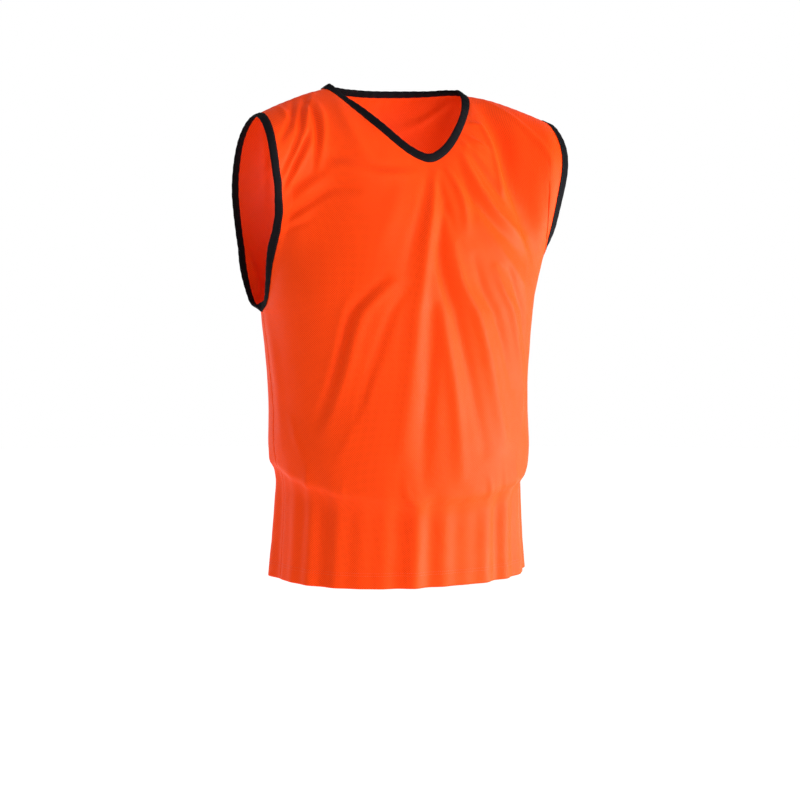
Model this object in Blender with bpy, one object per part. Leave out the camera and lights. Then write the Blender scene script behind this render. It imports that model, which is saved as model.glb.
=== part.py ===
"""Sleeveless mesh training bib, worn and tucked in at the waist, with no wearer.

Metres, +Z up. The front faces -Y and the wearer's left is +X. The origin lies midway between
the two shoulder seams, where the shoulders carry the bib.

The bib is a front and a back of knitted mesh, joined at the shoulders and the sides, and three
bands of knitted tape that bind the neck and the armholes. Each panel is laid out with two
numbers: across runs from -1 at the wearer's right side seam to 1 at the left one, and up runs
from -1 at the hem, through 0 at the underarm, to 1 at the shoulder seam and the neck edge.
"""

import bpy
import bmesh
import numpy as np
from mathutils import Vector

CLOTH = 0.0014
SEAM_GAP = 0.0003
TAPE_WIDTH = 0.0100
TAPE_THICKNESS = 0.0024
NECK_SHARE = 0.58        # part of the panel's half width that ends at the neck edge
ROWS_BELOW = 18
ROWS_ABOVE = 18
SHOULDER_COLUMNS = 9
FRONT_NECK_COLUMNS = 32
BACK_NECK_COLUMNS = 20
SHOULDER_BOW = 0.4       # 0 is a straight shoulder line, more bows it upward
CORNER_REACH = 0.14      # how far across the rounding below the neck's corner goes
CORNER_PASSES = 8

ORANGE = (0.930, 0.092, 0.018, 1.0)
BLACK = (0.014, 0.013, 0.016, 1.0)


def table(columns, rows):
    """Rows of plain values as dictionaries with the columns' names."""
    names = columns.split()
    return [dict(zip(names, row)) for row in rows]


# Level sections below the armholes, from the underarm down. The drop is how much of the
# waist's slope a section takes: the waistband of a wearer is lower at the front.
SECTIONS = table(
    "name         height   half_width  front   back    middle  squareness  seam    drop",
    [
        ("underarm",  -0.258,  0.1755,    0.128,  0.105,  0.010,  2.25,       0.028,  0.00),
        ("ribs",      -0.315,  0.1705,    0.129,  0.106,  0.009,  2.15,       0.019,  0.10),
        ("waist",     -0.370,  0.1675,    0.129,  0.107,  0.006,  2.10,       0.012,  0.42),
        ("blouse",    -0.412,  0.1690,    0.130,  0.112,  0.004,  2.10,       0.008,  0.85),
        ("gather",    -0.436,  0.1675,    0.128,  0.111,  0.003,  2.10,       0.005,  1.00),
        ("tuck",      -0.4485, 0.1605,    0.1215, 0.105,  0.003,  2.10,       0.005,  1.00),
        ("band",      -0.466,  0.1575,    0.1180, 0.102,  0.003,  2.10,       0.005,  0.95),
        ("hip",       -0.515,  0.1590,    0.1175, 0.106,  0.005,  2.15,       0.005,  0.65),
        ("hem",       -0.580,  0.1640,    0.1180, 0.112,  0.008,  2.20,       0.005,  0.20),
    ],
)
SLOPE_ACROSS = 0.04
SLOPE_FRONT = 0.36
SLOPE_BACK = 0.16

# Half of the neck edge, from the middle of the front to the middle of the back.
NECK = table(
    "name            x       y        z",
    [
        ("front middle", 0.000,  -0.0750, -0.0780),
        ("front curve",  0.017,  -0.0725, -0.0728),
        ("front curve",  0.034,  -0.0665, -0.0610),
        ("front slant",  0.054,  -0.0540, -0.0410),
        ("front slant",  0.0735, -0.0350, -0.0200),
        ("front slant",  0.0865, -0.0175, -0.0040),
        ("front slant",  0.0938, -0.0035, 0.0060),
        ("shoulder",     0.0970, 0.0080,  0.0110),
        ("back curve",   0.0950, 0.0225,  0.0116),
        ("back curve",   0.0870, 0.0370,  0.0116),
        ("back curve",   0.0710, 0.0500,  0.0104),
        ("back curve",   0.0400, 0.0620,  0.0082),
        ("back middle",  0.000,  0.0660,  0.0074),
    ],
)
NECK_SHOULDER_ROW = 7

# One armhole edge, from the underarm up the front, over the shoulder and down the back.
ARMHOLE = table(
    "name            x       y        z",
    [
        ("underarm",     0.1755, 0.0280,  -0.2580),
        ("front curve",  0.1765, 0.0120,  -0.2510),
        ("front curve",  0.1780, 0.0000,  -0.2330),
        ("front side",   0.1808, -0.0135, -0.2030),
        ("front side",   0.1840, -0.0420, -0.1610),
        ("front side",   0.1890, -0.0580, -0.1180),
        ("front side",   0.1955, -0.0610, -0.0760),
        ("front top",    0.1955, -0.0460, -0.0415),
        ("shoulder",     0.1940, -0.0110, -0.0225),
        ("back top",     0.1955, 0.0240,  -0.0390),
        ("back side",    0.1950, 0.0490,  -0.0760),
        ("back side",    0.1900, 0.0650,  -0.1180),
        ("back side",    0.1845, 0.0680,  -0.1610),
        ("back side",    0.1808, 0.0640,  -0.2030),
        ("back curve",   0.1780, 0.0560,  -0.2330),
        ("back curve",   0.1765, 0.0440,  -0.2510),
        ("underarm",     0.1755, 0.0280,  -0.2580),
    ],
)
ARMHOLE_SHOULDER_ROW = 8

# The upright curves of a half panel above the underarm, by how far across they stand. The
# rise and the slide say where a curve heads from the underarm section, upward and along the
# section toward the middle. The guide is the place that its upper end bends toward.
FRONT_CURVES = table(
    "across   rise   slide  guide_x guide_y guide_z",
    [
        (0.00,    0.065, 0.000, 0.000,  -0.103, -0.128),
        (0.30,    0.072, 0.006, 0.059,  -0.102, -0.094),
        (0.58,    0.082, 0.024, 0.109,  -0.090, -0.032),
        (0.80,    0.072, 0.052, 0.154,  -0.100, -0.036),
        (1.00,    0.058, 0.056, 0.202,  -0.111, -0.056),
    ],
)
BACK_CURVES = table(
    "across   rise   slide  guide_x guide_y guide_z",
    [
        (0.00,    0.080, 0.000, 0.000,  0.112,  -0.034),
        (0.30,    0.080, 0.004, 0.066,  0.112,  -0.026),
        (0.58,    0.082, 0.014, 0.128,  0.101,  -0.010),
        (0.80,    0.070, 0.036, 0.162,  0.095,  -0.026),
        (1.00,    0.060, 0.044, 0.200,  0.083,  -0.057),
    ],
)

# The largest folds. Each lies on a path of four places on its panel; a height below zero is
# a trough. The width is from the middle of the fold to where it has almost gone.
FOLDS = table(
    "panel   a_across a_up   b_across b_up   c_across c_up   d_across d_up    height   width",
    [
        ("front", 0.015, 0.90,   -0.08,  0.38,   -0.12, 0.02,    -0.22, -0.42,   0.0034,  0.017),
        ("front", 0.03,  0.64,   -0.012, 0.30,   0.06,  -0.05,   0.175, -0.42,   -0.0042, 0.016),
        ("front", 0.05,  0.40,   0.095,  0.10,   0.15,  -0.05,   0.30,  -0.38,   0.0046,  0.017),
        ("front", 0.15,  0.30,   0.18,   0.10,   0.24,  -0.05,   0.35,  -0.27,   -0.0034, 0.015),
        ("front", -0.02, 0.02,   0.01,   -0.15,  0.045, -0.32,   0.06,  -0.49,   0.0036,  0.016),
        ("front", -0.055, 0.03,  -0.07,  -0.15,  -0.10, -0.33,   -0.13, -0.52,   -0.0034, 0.016),
        ("front", -0.26, 0.18,   -0.42,  -0.05,  -0.50, -0.20,   -0.63, -0.37,   -0.0034, 0.015),
        ("front", -0.21, 0.17,   -0.37,  -0.05,  -0.45, -0.20,   -0.58, -0.38,   0.0038,  0.015),
        ("front", 0.215, 0.87,   0.255,  0.68,   0.35,  0.465,   0.55,  0.25,    0.0042,  0.015),
        ("front", 0.28,  0.86,   0.335,  0.70,   0.395, 0.55,    0.54,  0.36,    -0.0030, 0.015),
        ("front", 0.21,  0.48,   0.27,   0.36,   0.34,  0.25,    0.47,  0.09,    0.0028,  0.015),
        ("front", 0.61,  0.88,   0.60,   0.70,   0.56,  0.54,    0.60,  0.36,    -0.0075, 0.019),
        ("front", 0.47,  0.86,   0.475,  0.72,   0.43,  0.58,    0.42,  0.49,    0.0030,  0.014),
        ("front", 0.93,  0.86,   0.90,   0.58,   0.90,  0.27,    0.95,  -0.04,   0.0110,  0.033),
        ("front", -0.98, 0.46,   -0.82,  0.455,  -0.66, 0.49,    -0.50, 0.53,    0.0026,  0.018),
        ("front", -0.70, 0.80,   -0.76,  0.705,  -0.84, 0.595,   -0.95, 0.475,   0.0032,  0.015),
        ("front", -0.92, 0.02,   -0.905, -0.15,  -0.905, -0.30,  -0.90, -0.46,   0.0028,  0.018),
        ("back",  -0.62, 0.62,   -0.50,  0.30,   -0.36, -0.02,   -0.24, -0.46,   0.0055,  0.020),
        ("back",  -0.30, 0.30,   -0.22,  0.00,   -0.12, -0.26,   -0.06, -0.54,   -0.0050, 0.020),
        ("back",  0.04,  0.66,   0.06,   0.24,   0.02,  -0.16,   0.05,  -0.52,   0.0045,  0.020),
        ("back",  0.66,  0.58,   0.52,   0.24,   0.44,  -0.10,   0.30,  -0.50,   0.0055,  0.019),
        ("back",  0.36,  0.34,   0.26,   0.04,   0.22,  -0.20,   0.16,  -0.48,   -0.0050, 0.020),
        ("back",  -0.96, 0.30,   -0.80,  0.08,   -0.70, -0.18,   -0.62, -0.44,   -0.0045, 0.020),
        ("back",  0.94,  0.34,   0.82,   0.06,   0.74,  -0.20,   0.64,  -0.50,   -0.0045, 0.020),
    ],
)
PATH_STEPS = 24

# Uneven pleats that the waistband leaves in the tucked cloth, as waves round the body.
PLEATS = table(
    "waves   phase   height",
    [
        (19,     0.4,    0.0016),
        (26,     2.1,    0.0013),
        (11,     4.0,    0.0010),
    ],
)
PLEATS_START = -0.42     # measured down the panel, in parts of its length below the underarm
PLEATS_FULL = -0.74


def smooth(rows, key, name, at):
    """The named column where the key column has the given value, with no overshoot."""
    order = sorted(rows, key=lambda row: row[key])
    keys = np.array([row[key] for row in order])
    values = np.array([row[name] for row in order])
    at = np.clip(at, keys[0], keys[-1])
    step = np.diff(keys)
    rise = np.diff(values) / step
    slope = np.empty_like(values)
    slope[0] = rise[0]
    slope[-1] = rise[-1]
    for i in range(1, len(values) - 1):
        turns = rise[i - 1] * rise[i] <= 0.0
        slope[i] = 0.0 if turns else 2.0 * rise[i - 1] * rise[i] / (rise[i - 1] + rise[i])
    i = np.clip(np.searchsorted(keys, at, side="right") - 1, 0, len(keys) - 2)
    t = (at - keys[i]) / step[i]
    return (
        (1 + 2 * t) * (1 - t) ** 2 * values[i]
        + t * (1 - t) ** 2 * step[i] * slope[i]
        + t * t * (3 - 2 * t) * values[i + 1]
        + t * t * (t - 1) * step[i] * slope[i + 1]
    )


def spline(points):
    """A natural cubic through the points: its parameter at each point, and the curve."""
    points = np.asarray(points, float)
    knots = np.concatenate([[0.0], np.cumsum(np.linalg.norm(np.diff(points, axis=0), axis=1))])
    step = np.diff(knots)
    count = len(points)
    matrix = np.eye(count)
    right = np.zeros_like(points)
    for i in range(1, count - 1):
        matrix[i, i - 1] = step[i - 1]
        matrix[i, i] = 2.0 * (step[i - 1] + step[i])
        matrix[i, i + 1] = step[i]
        rise_after = (points[i + 1] - points[i]) / step[i]
        rise_before = (points[i] - points[i - 1]) / step[i - 1]
        right[i] = 6.0 * (rise_after - rise_before)
    bend = np.linalg.solve(matrix, right)

    def curve(at):
        i = np.clip(np.searchsorted(knots, at, side="right") - 1, 0, count - 2)
        h = step[i][..., None]
        a = (knots[i + 1] - at)[..., None] / h
        b = (at - knots[i])[..., None] / h
        bent = (a**3 - a) * bend[i] + (b**3 - b) * bend[i + 1]
        return a * points[i] + b * points[i + 1] + bent * h**2 / 6.0

    return knots, curve


def by_length(curve, start, end, share, samples=600):
    """Points of the curve between two parameters, at shares of the length between them."""
    at = np.linspace(start, end, samples)
    points = curve(at)
    run = np.concatenate([[0.0], np.cumsum(np.linalg.norm(np.diff(points, axis=0), axis=1))])
    return curve(np.interp(share * run[-1], run, at))


def places(rows):
    return np.array([(row["x"], row["y"], row["z"]) for row in rows])


def mirrored(points):
    return points * (-1.0, 1.0, 1.0)


def section_point(height, angle):
    """A point of a level section: the angle is 0 at the front middle and turns to the left."""
    half_width = smooth(SECTIONS, "height", "half_width", height)
    square = smooth(SECTIONS, "height", "squareness", height)
    middle = smooth(SECTIONS, "height", "middle", height)
    drop = smooth(SECTIONS, "height", "drop", height)
    front = smooth(SECTIONS, "height", "front", height)
    back = smooth(SECTIONS, "height", "back", height)
    sine = np.sin(angle)
    cosine = np.cos(angle)
    reach = (np.abs(sine) ** square + np.abs(cosine) ** square) ** (-1.0 / square)
    x = half_width * reach * sine
    y = middle - np.where(cosine > 0.0, front, back) * reach * cosine
    slope = np.where(y < 0.0, SLOPE_FRONT, SLOPE_BACK) * y + SLOPE_ACROSS * x
    return np.stack([x, y, height + drop * slope], -1)


def seam_angle(height):
    """The angle at which a section meets the left side seam."""
    middle = smooth(SECTIONS, "height", "middle", height)
    seam = smooth(SECTIONS, "height", "seam", height)
    front = smooth(SECTIONS, "height", "front", height)
    back = smooth(SECTIONS, "height", "back", height)
    square = smooth(SECTIONS, "height", "squareness", height)
    depth = np.where(seam < middle, front, back)
    angle = np.pi / 2 + np.arcsin((seam - middle) / depth)
    for _ in range(8):
        sine = np.abs(np.sin(angle))
        cosine = np.cos(angle)
        reach = (sine**square + np.abs(cosine) ** square) ** (-1.0 / square)
        angle = angle - (middle - depth * reach * cosine - seam) / depth
    return angle


def angle_at(side, across, height):
    """The angle of a place on a panel, by how far across it is at a given height."""
    edge = seam_angle(height)
    return across * edge if side == "front" else np.pi - across * (np.pi - edge)


NECK_ROWS = places(NECK)
NECK_KNOTS, NECK_CURVE = spline(
    np.concatenate([mirrored(NECK_ROWS[2:0:-1]), NECK_ROWS, mirrored(NECK_ROWS[-2:-4:-1])])
)
ARMHOLE_KNOTS, ARMHOLE_CURVE = spline(places(ARMHOLE))
UNDERARM = SECTIONS[0]["height"]
HEM = SECTIONS[-1]["height"]


def neck_point(side, share):
    """The left half of the neck edge: share is 0 at the middle and 1 at the shoulder."""
    middle = NECK_KNOTS[2] if side == "front" else NECK_KNOTS[1 + len(NECK_ROWS)]
    return by_length(NECK_CURVE, middle, NECK_KNOTS[2 + NECK_SHOULDER_ROW], share)


def armhole_point(side, share):
    """The left armhole edge: share is 0 at the underarm and 1 at the shoulder."""
    underarm = ARMHOLE_KNOTS[0] if side == "front" else ARMHOLE_KNOTS[-1]
    return by_length(ARMHOLE_CURVE, underarm, ARMHOLE_KNOTS[ARMHOLE_SHOULDER_ROW], share)


def shoulder_point(share):
    """The left shoulder seam: share is 0 at the neck and 1 at the armhole."""
    neck = NECK_ROWS[NECK_SHOULDER_ROW]
    tip = places(ARMHOLE)[ARMHOLE_SHOULDER_ROW]
    share = np.asarray(share)[..., None]
    bowed = (1.0 - SHOULDER_BOW) * share + SHOULDER_BOW * share**2
    return neck + (tip - neck) * np.concatenate([share, share, bowed], -1)


def top_point(side, across):
    """Where an upright line of the left half panel ends, at the neck or the shoulder seam."""
    at_neck = neck_point(side, np.clip(across / NECK_SHARE, 0.0, 1.0))
    at_shoulder = shoulder_point(np.clip((across - NECK_SHARE) / (1 - NECK_SHARE), 0.0, 1.0))
    return np.where((across <= NECK_SHARE)[..., None], at_neck, at_shoulder)


def upright(side, across, up):
    """The cubic curve that one upright line of the left half panel follows."""
    curves = FRONT_CURVES if side == "front" else BACK_CURVES
    angle = angle_at(side, across, UNDERARM)
    step = 0.004
    start = section_point(UNDERARM, angle)
    below = section_point(UNDERARM - step, angle_at(side, across, UNDERARM - step))
    toward = section_point(UNDERARM, angle_at(side, across - step, UNDERARM))
    rise = smooth(curves, "across", "rise", across)[..., None] * unit(start - below)
    slide = smooth(curves, "across", "slide", across)[..., None] * unit(toward - start)
    guide = np.stack([smooth(curves, "across", f"guide_{axis}", across) for axis in "xyz"], -1)
    end = top_point(side, across)
    t = up[..., None]
    return (
        (1 - t) ** 3 * start
        + 3 * t * (1 - t) ** 2 * (start + rise + slide)
        + 3 * t * t * (1 - t) * guide
        + t**3 * end
    )


def panel_point(side, across, up):
    """A point of the smooth panel, before its folds."""
    across, up = np.broadcast_arrays(np.asarray(across, float), np.asarray(up, float))
    half = np.abs(across)
    low = UNDERARM + np.minimum(up, 0.0) * (UNDERARM - HEM)
    body = section_point(low, angle_at(side, across, low))
    high = np.maximum(up, 0.0)
    chest = upright(side, half, high)
    pull = armhole_point(side, high) - upright(side, np.ones_like(half), high)
    chest = chest + (half**5)[..., None] * pull
    chest = np.where((across < 0.0)[..., None], mirrored(chest), chest)
    return np.where((up > 0.0)[..., None], chest, body)


def fold_paths():
    """Each fold's row with the points that its middle line follows."""
    found = []
    for row in FOLDS:
        marks = [(row[f"{name}_across"], row[f"{name}_up"], 0.0) for name in "abcd"]
        knots, curve = spline(marks)
        marks = curve(np.linspace(0.0, knots[-1], PATH_STEPS))
        found.append((row, panel_point(row["panel"], marks[:, 0], marks[:, 1])))
    return found


def fold_lift(points, paths):
    """How far the folds move each point of the cloth outward."""
    lift = np.zeros(points.shape[:-1])
    for row, path in paths:
        nearest = np.full(points.shape[:-1], 1.0)
        along = np.zeros(points.shape[:-1])
        for i in range(len(path) - 1):
            leg = path[i + 1] - path[i]
            t = np.clip(((points - path[i]) @ leg) / (leg @ leg), 0.0, 1.0)
            distance = np.linalg.norm(points - path[i] - t[..., None] * leg, axis=-1)
            closer = distance < nearest
            nearest = np.where(closer, distance, nearest)
            along = np.where(closer, (i + t) / (len(path) - 1), along)
        fade = np.sin(np.pi * (0.08 + 0.84 * along)) ** 0.8
        lift += row["height"] * fade * np.exp(-((1.6 * nearest / row["width"]) ** 2))
    return lift


def pleat_lift(side, across, up):
    """How far the waistband's pleats move each point of a panel outward."""
    turn = angle_at(side, across, UNDERARM)
    strength = np.clip((PLEATS_START - up) / (PLEATS_START - PLEATS_FULL), 0.0, 1.0)
    wave = np.zeros(np.broadcast(across, up).shape)
    for row in PLEATS:
        wave += row["height"] * np.sin(row["waves"] * turn + row["phase"])
    return wave * strength**2 * (3.0 - 2.0 * strength)


def grid_normals(points, side):
    """Outward normals of a grid of points, by the differences to its neighbours."""
    normal = np.cross(np.gradient(points, axis=1), np.gradient(points, axis=0))
    normal = normal / np.linalg.norm(normal, axis=-1, keepdims=True)
    return normal if side == "front" else -normal


def columns(neck_columns):
    """The across values of a panel's grid lines, the same on both panels at the shoulders."""
    shoulder = np.linspace(NECK_SHARE, 1.0, SHOULDER_COLUMNS + 1)
    neck = np.linspace(-NECK_SHARE, NECK_SHARE, neck_columns + 1)
    return np.concatenate([-shoulder[::-1], neck[1:-1], shoulder])


def relaxed(flat, across, up):
    """The smooth panel with the line below the corner of neck and shoulder rounded off."""
    beside = np.exp(-(((np.abs(across) - NECK_SHARE) / CORNER_REACH) ** 2))
    within = np.clip(3.0 * (1.0 - up), 0.0, 1.0) * np.clip(3.0 * up, 0.0, 1.0)
    strength = 0.5 * (within[:, None] * beside[1:-1])[..., None]
    for _ in range(CORNER_PASSES):
        mean = 0.5 * (flat[:, 2:] + flat[:, :-2])
        flat[:, 1:-1] += strength * (mean - flat[:, 1:-1])
    return flat


def panels():
    """The outer points and outward normals of the two panels, alike along their seams."""
    up = np.concatenate([np.linspace(-1, 0, ROWS_BELOW + 1), np.linspace(0, 1, ROWS_ABOVE + 1)[1:]])
    paths = fold_paths()
    found = {}
    for side, neck_columns in (("front", FRONT_NECK_COLUMNS), ("back", BACK_NECK_COLUMNS)):
        across = columns(neck_columns)
        flat = relaxed(panel_point(side, across[None, :], up[:, None]), across, up)
        lift = fold_lift(flat, paths) + pleat_lift(side, across[None, :], up[:, None])
        found[side] = [flat, grid_normals(flat, side), lift]
    share_seam_normals(found)
    for side, (flat, normal, lift) in found.items():
        points = flat + lift[..., None] * normal
        found[side] = [points, grid_normals(points, side), lift]
    share_seam_normals(found)
    return found["front"][:2], found["back"][:2]


def share_seam_normals(found):
    """Gives both panels the same normals on the side seams and on the shoulder seams."""
    front = found["front"][1]
    back = found["back"][1]
    seams = [
        (np.s_[:, 0], np.s_[:, 0]),
        (np.s_[:, -1], np.s_[:, -1]),
        (np.s_[-1, : SHOULDER_COLUMNS + 1], np.s_[-1, : SHOULDER_COLUMNS + 1]),
        (np.s_[-1, -SHOULDER_COLUMNS - 1 :], np.s_[-1, -SHOULDER_COLUMNS - 1 :]),
    ]
    for on_front, on_back in seams[:2]:
        rows = np.s_[: ROWS_BELOW + 1]
        mean = front[on_front][rows] + back[on_back][rows]
        mean = mean / np.linalg.norm(mean, axis=-1, keepdims=True)
        front[on_front][rows] = mean
        back[on_back][rows] = mean
    for on_front, on_back in seams[2:]:
        mean = front[on_front] + back[on_back]
        mean = mean / np.linalg.norm(mean, axis=-1, keepdims=True)
        front[on_front] = mean
        back[on_back] = mean


def unit(vectors):
    return vectors / np.linalg.norm(vectors, axis=-1, keepdims=True)


def set_back_seams(points):
    """Moves the sewn edges of a panel in, so that the panels stay a seam gap apart."""
    moved = points.copy()
    half = SEAM_GAP / 2
    rows = np.s_[: ROWS_BELOW + 1]
    moved[rows, 0] += half * unit(points[rows, 1] - points[rows, 0])
    moved[rows, -1] += half * unit(points[rows, -2] - points[rows, -1])
    for part in (np.s_[: SHOULDER_COLUMNS + 1], np.s_[-SHOULDER_COLUMNS - 1 :]):
        moved[-1, part] += half * unit(points[-2, part] - points[-1, part])
    return moved


def new_mesh(name, points, faces, material, collection):
    """A closed mesh object from points and faces, with its faces turned outward."""
    mesh = bpy.data.meshes.new(name)
    mesh.from_pydata([tuple(point) for point in points], [], faces)
    work = bmesh.new()
    work.from_mesh(mesh)
    bmesh.ops.recalc_face_normals(work, faces=work.faces)
    work.to_mesh(mesh)
    work.free()
    mesh.materials.append(material)
    for face in mesh.polygons:
        face.use_smooth = True
    thing = bpy.data.objects.new(name, mesh)
    collection.objects.link(thing)
    return thing


def panel_solid(name, points, normals, material, collection):
    """One panel as a closed wall: its outer face, its inner face and the cut edge between."""
    outer = set_back_seams(points)
    inner = outer - CLOTH * normals
    rows, width = outer.shape[:2]
    count = rows * width
    faces = []
    for r in range(rows - 1):
        for c in range(width - 1):
            a = r * width + c
            quad = (a, a + 1, a + width + 1, a + width)
            faces.append(quad)
            faces.append(tuple(count + i for i in reversed(quad)))
    rim = [c for c in range(width)]
    rim += [r * width + width - 1 for r in range(1, rows)]
    rim += [(rows - 1) * width + c for c in range(width - 2, -1, -1)]
    rim += [r * width for r in range(rows - 2, 0, -1)]
    for i, a in enumerate(rim):
        b = rim[(i + 1) % len(rim)]
        faces.append((a, b, count + b, count + a))
    every = np.concatenate([outer.reshape(-1, 3), inner.reshape(-1, 3)])
    return new_mesh(name, every, faces, material, collection)


def tape_solid(name, edge, normals, outward, material, collection):
    """A band of tape along a closed edge, butted to the cloth a seam gap away.

    The edge's points are on the outer face of the cloth, the normals point away from the
    wearer, and outward points from the cloth into the opening.
    """
    proud = (TAPE_THICKNESS - CLOTH) / 2
    inset = TAPE_THICKNESS * 0.28
    section = [
        (SEAM_GAP, proud - inset),
        (SEAM_GAP + inset, proud),
        (TAPE_WIDTH - inset, proud),
        (TAPE_WIDTH, proud - inset),
        (TAPE_WIDTH, proud - TAPE_THICKNESS + inset),
        (TAPE_WIDTH - inset, proud - TAPE_THICKNESS),
        (SEAM_GAP + inset, proud - TAPE_THICKNESS),
        (SEAM_GAP, proud - TAPE_THICKNESS + inset),
    ]
    points = []
    faces = []
    size = len(section)
    for place, normal, out in zip(edge, normals, outward):
        for across, height in section:
            points.append(place + across * out + height * normal)
    for i in range(len(edge)):
        j = (i + 1) % len(edge)
        for k in range(size):
            m = (k + 1) % size
            faces.append((i * size + k, i * size + m, j * size + m, j * size + k))
    return new_mesh(name, points, faces, material, collection)


def edge_frame(edge, normals, inside):
    """Normals square to a closed edge, and directions from the cloth into the opening.

    The plane at each point holds the edge and the nearest cloth inside it.
    """
    along = unit(np.roll(edge, -1, axis=0) - np.roll(edge, 1, axis=0))
    outward = edge - inside
    outward = unit(outward - np.sum(outward * along, axis=1, keepdims=True) * along)
    square = np.cross(along, outward)
    turned = np.sign(np.sum(square * normals, axis=1, keepdims=True))
    return square * turned, outward


def neck_edge(front, back):
    """The closed neck edge: its points, normals and the nearest grid points inside the cloth."""
    part = np.s_[SHOULDER_COLUMNS : -SHOULDER_COLUMNS]
    found = []
    for points, normals in (front, back):
        inside = points[-2, part].copy()
        inside[0] = points[-1, SHOULDER_COLUMNS - 1]
        inside[-1] = points[-1, -SHOULDER_COLUMNS]
        found.append((points[-1, part], normals[-1, part], inside))
    joined = []
    for at_front, at_back in zip(*found):
        joined.append(np.concatenate([at_front, at_back[-2:0:-1]]))
    return joined


def armhole_edge(front, back, column):
    """A closed armhole edge in the same form, for the first or the last grid column."""
    inner = 1 if column == 0 else -2
    rows = np.s_[ROWS_BELOW:]
    found = []
    for points, normals in (front, back):
        inside = points[rows, inner].copy()
        inside[0] = points[ROWS_BELOW - 1, column]
        inside[-1] = points[-1, inner]
        found.append((points[rows, column], normals[rows, column], inside))
    joined = []
    for at_front, at_back in zip(*found):
        joined.append(np.concatenate([at_front, at_back[-2:0:-1]]))
    return joined


def make_material(name, colour, roughness):
    material = bpy.data.materials.new(name)
    material.use_nodes = True
    shader = material.node_tree.nodes["Principled BSDF"]
    shader.inputs["Base Color"].default_value = colour
    shader.inputs["Roughness"].default_value = roughness
    shader.inputs["Metallic"].default_value = 0.0
    material.diffuse_color = colour
    return material


def main():
    for thing in list(bpy.data.objects):
        bpy.data.objects.remove(thing, do_unlink=True)
    collection = bpy.data.collections.new("Training bib")
    bpy.context.scene.collection.children.link(collection)
    cloth = make_material("Orange mesh", ORANGE, 0.55)
    tape = make_material("Black tape", BLACK, 0.80)
    hanger = bpy.data.objects.new("training_bib", None)
    hanger.empty_display_size = 0.05
    collection.objects.link(hanger)
    front, back = panels()
    made = [
        panel_solid("front_panel", *front, cloth, collection),
        panel_solid("back_panel", *back, cloth, collection),
    ]
    edges = [
        ("neck_binding", neck_edge(front, back)),
        ("armhole_binding_right", armhole_edge(front, back, 0)),
        ("armhole_binding_left", armhole_edge(front, back, -1)),
    ]
    for name, (edge, normals, inside) in edges:
        normals, outward = edge_frame(edge, normals, inside)
        made.append(tape_solid(name, edge, normals, outward, tape, collection))
    for thing in made:
        thing.parent = hanger
    hanger.location = Vector((0.0, 0.0, 0.0))


main()
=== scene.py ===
"""The looks of a mesh training bib, laid out as an add-on and run as a script.

Metres, +Z up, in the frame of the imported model: the front faces -Y and the garment's left, as
it is worn, is +X. Each panel is laid out with two numbers, as it was in the construction: across
runs from -1 at the right side seam to 1 at the left one, and up runs from -1 at the hem, through
0 at the underarm, to 1 at the shoulder seam and the neck edge.
"""

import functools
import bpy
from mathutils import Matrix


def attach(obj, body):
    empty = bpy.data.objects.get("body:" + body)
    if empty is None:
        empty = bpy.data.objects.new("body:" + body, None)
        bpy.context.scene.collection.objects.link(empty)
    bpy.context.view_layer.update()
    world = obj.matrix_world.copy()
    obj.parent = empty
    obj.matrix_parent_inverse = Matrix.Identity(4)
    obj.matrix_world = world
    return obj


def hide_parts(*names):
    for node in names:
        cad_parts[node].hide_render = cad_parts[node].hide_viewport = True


bl_info = {
    "name": "Mesh training bib",
    "version": (1, 0, 0),
    "blender": (4, 5, 0),
    "location": "3D View > Sidebar > Training bib",
    "description": "Makes the cloth, the bindings and the sewing of a mesh training bib",
    "category": "Add Mesh",
}

import bmesh
import bpy
import numpy as np
from bpy.props import FloatProperty, FloatVectorProperty, IntProperty, PointerProperty
from mathutils import Vector, noise

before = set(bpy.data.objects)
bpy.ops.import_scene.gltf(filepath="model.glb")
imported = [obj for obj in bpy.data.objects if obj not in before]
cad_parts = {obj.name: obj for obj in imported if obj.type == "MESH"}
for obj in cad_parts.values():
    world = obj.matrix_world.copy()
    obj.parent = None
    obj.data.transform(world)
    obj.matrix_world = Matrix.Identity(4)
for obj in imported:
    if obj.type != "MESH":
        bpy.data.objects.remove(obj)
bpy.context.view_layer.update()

NECK_SHARE = 0.58        # part of the panel's half width that ends at the neck edge
SEAM_PASSES = 8          # steps that find where a section meets the side seam
ARMHOLE_PULL = 5         # power by which the pull of the armhole edge fades towards the middle
ROWS_BELOW = 96
ROWS_ABOVE = 112
SHOULDER_COLUMNS = 48
NECK_COLUMNS = 118
SHOULDER_BOW = 0.4       # how much the shoulder seam bows, from 0 for a straight slope
CORNER_REACH = 0.14      # how far across the rounding below the neck's corner goes
CORNER_PASSES = 140
CORNER_FADE = 3.0        # the rounding fades in and out over one part in this many of the height


def table(columns, rows):
    """Rows of plain values as dictionaries with the columns' names."""
    names = columns.split()
    return [dict(zip(names, row)) for row in rows]


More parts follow.
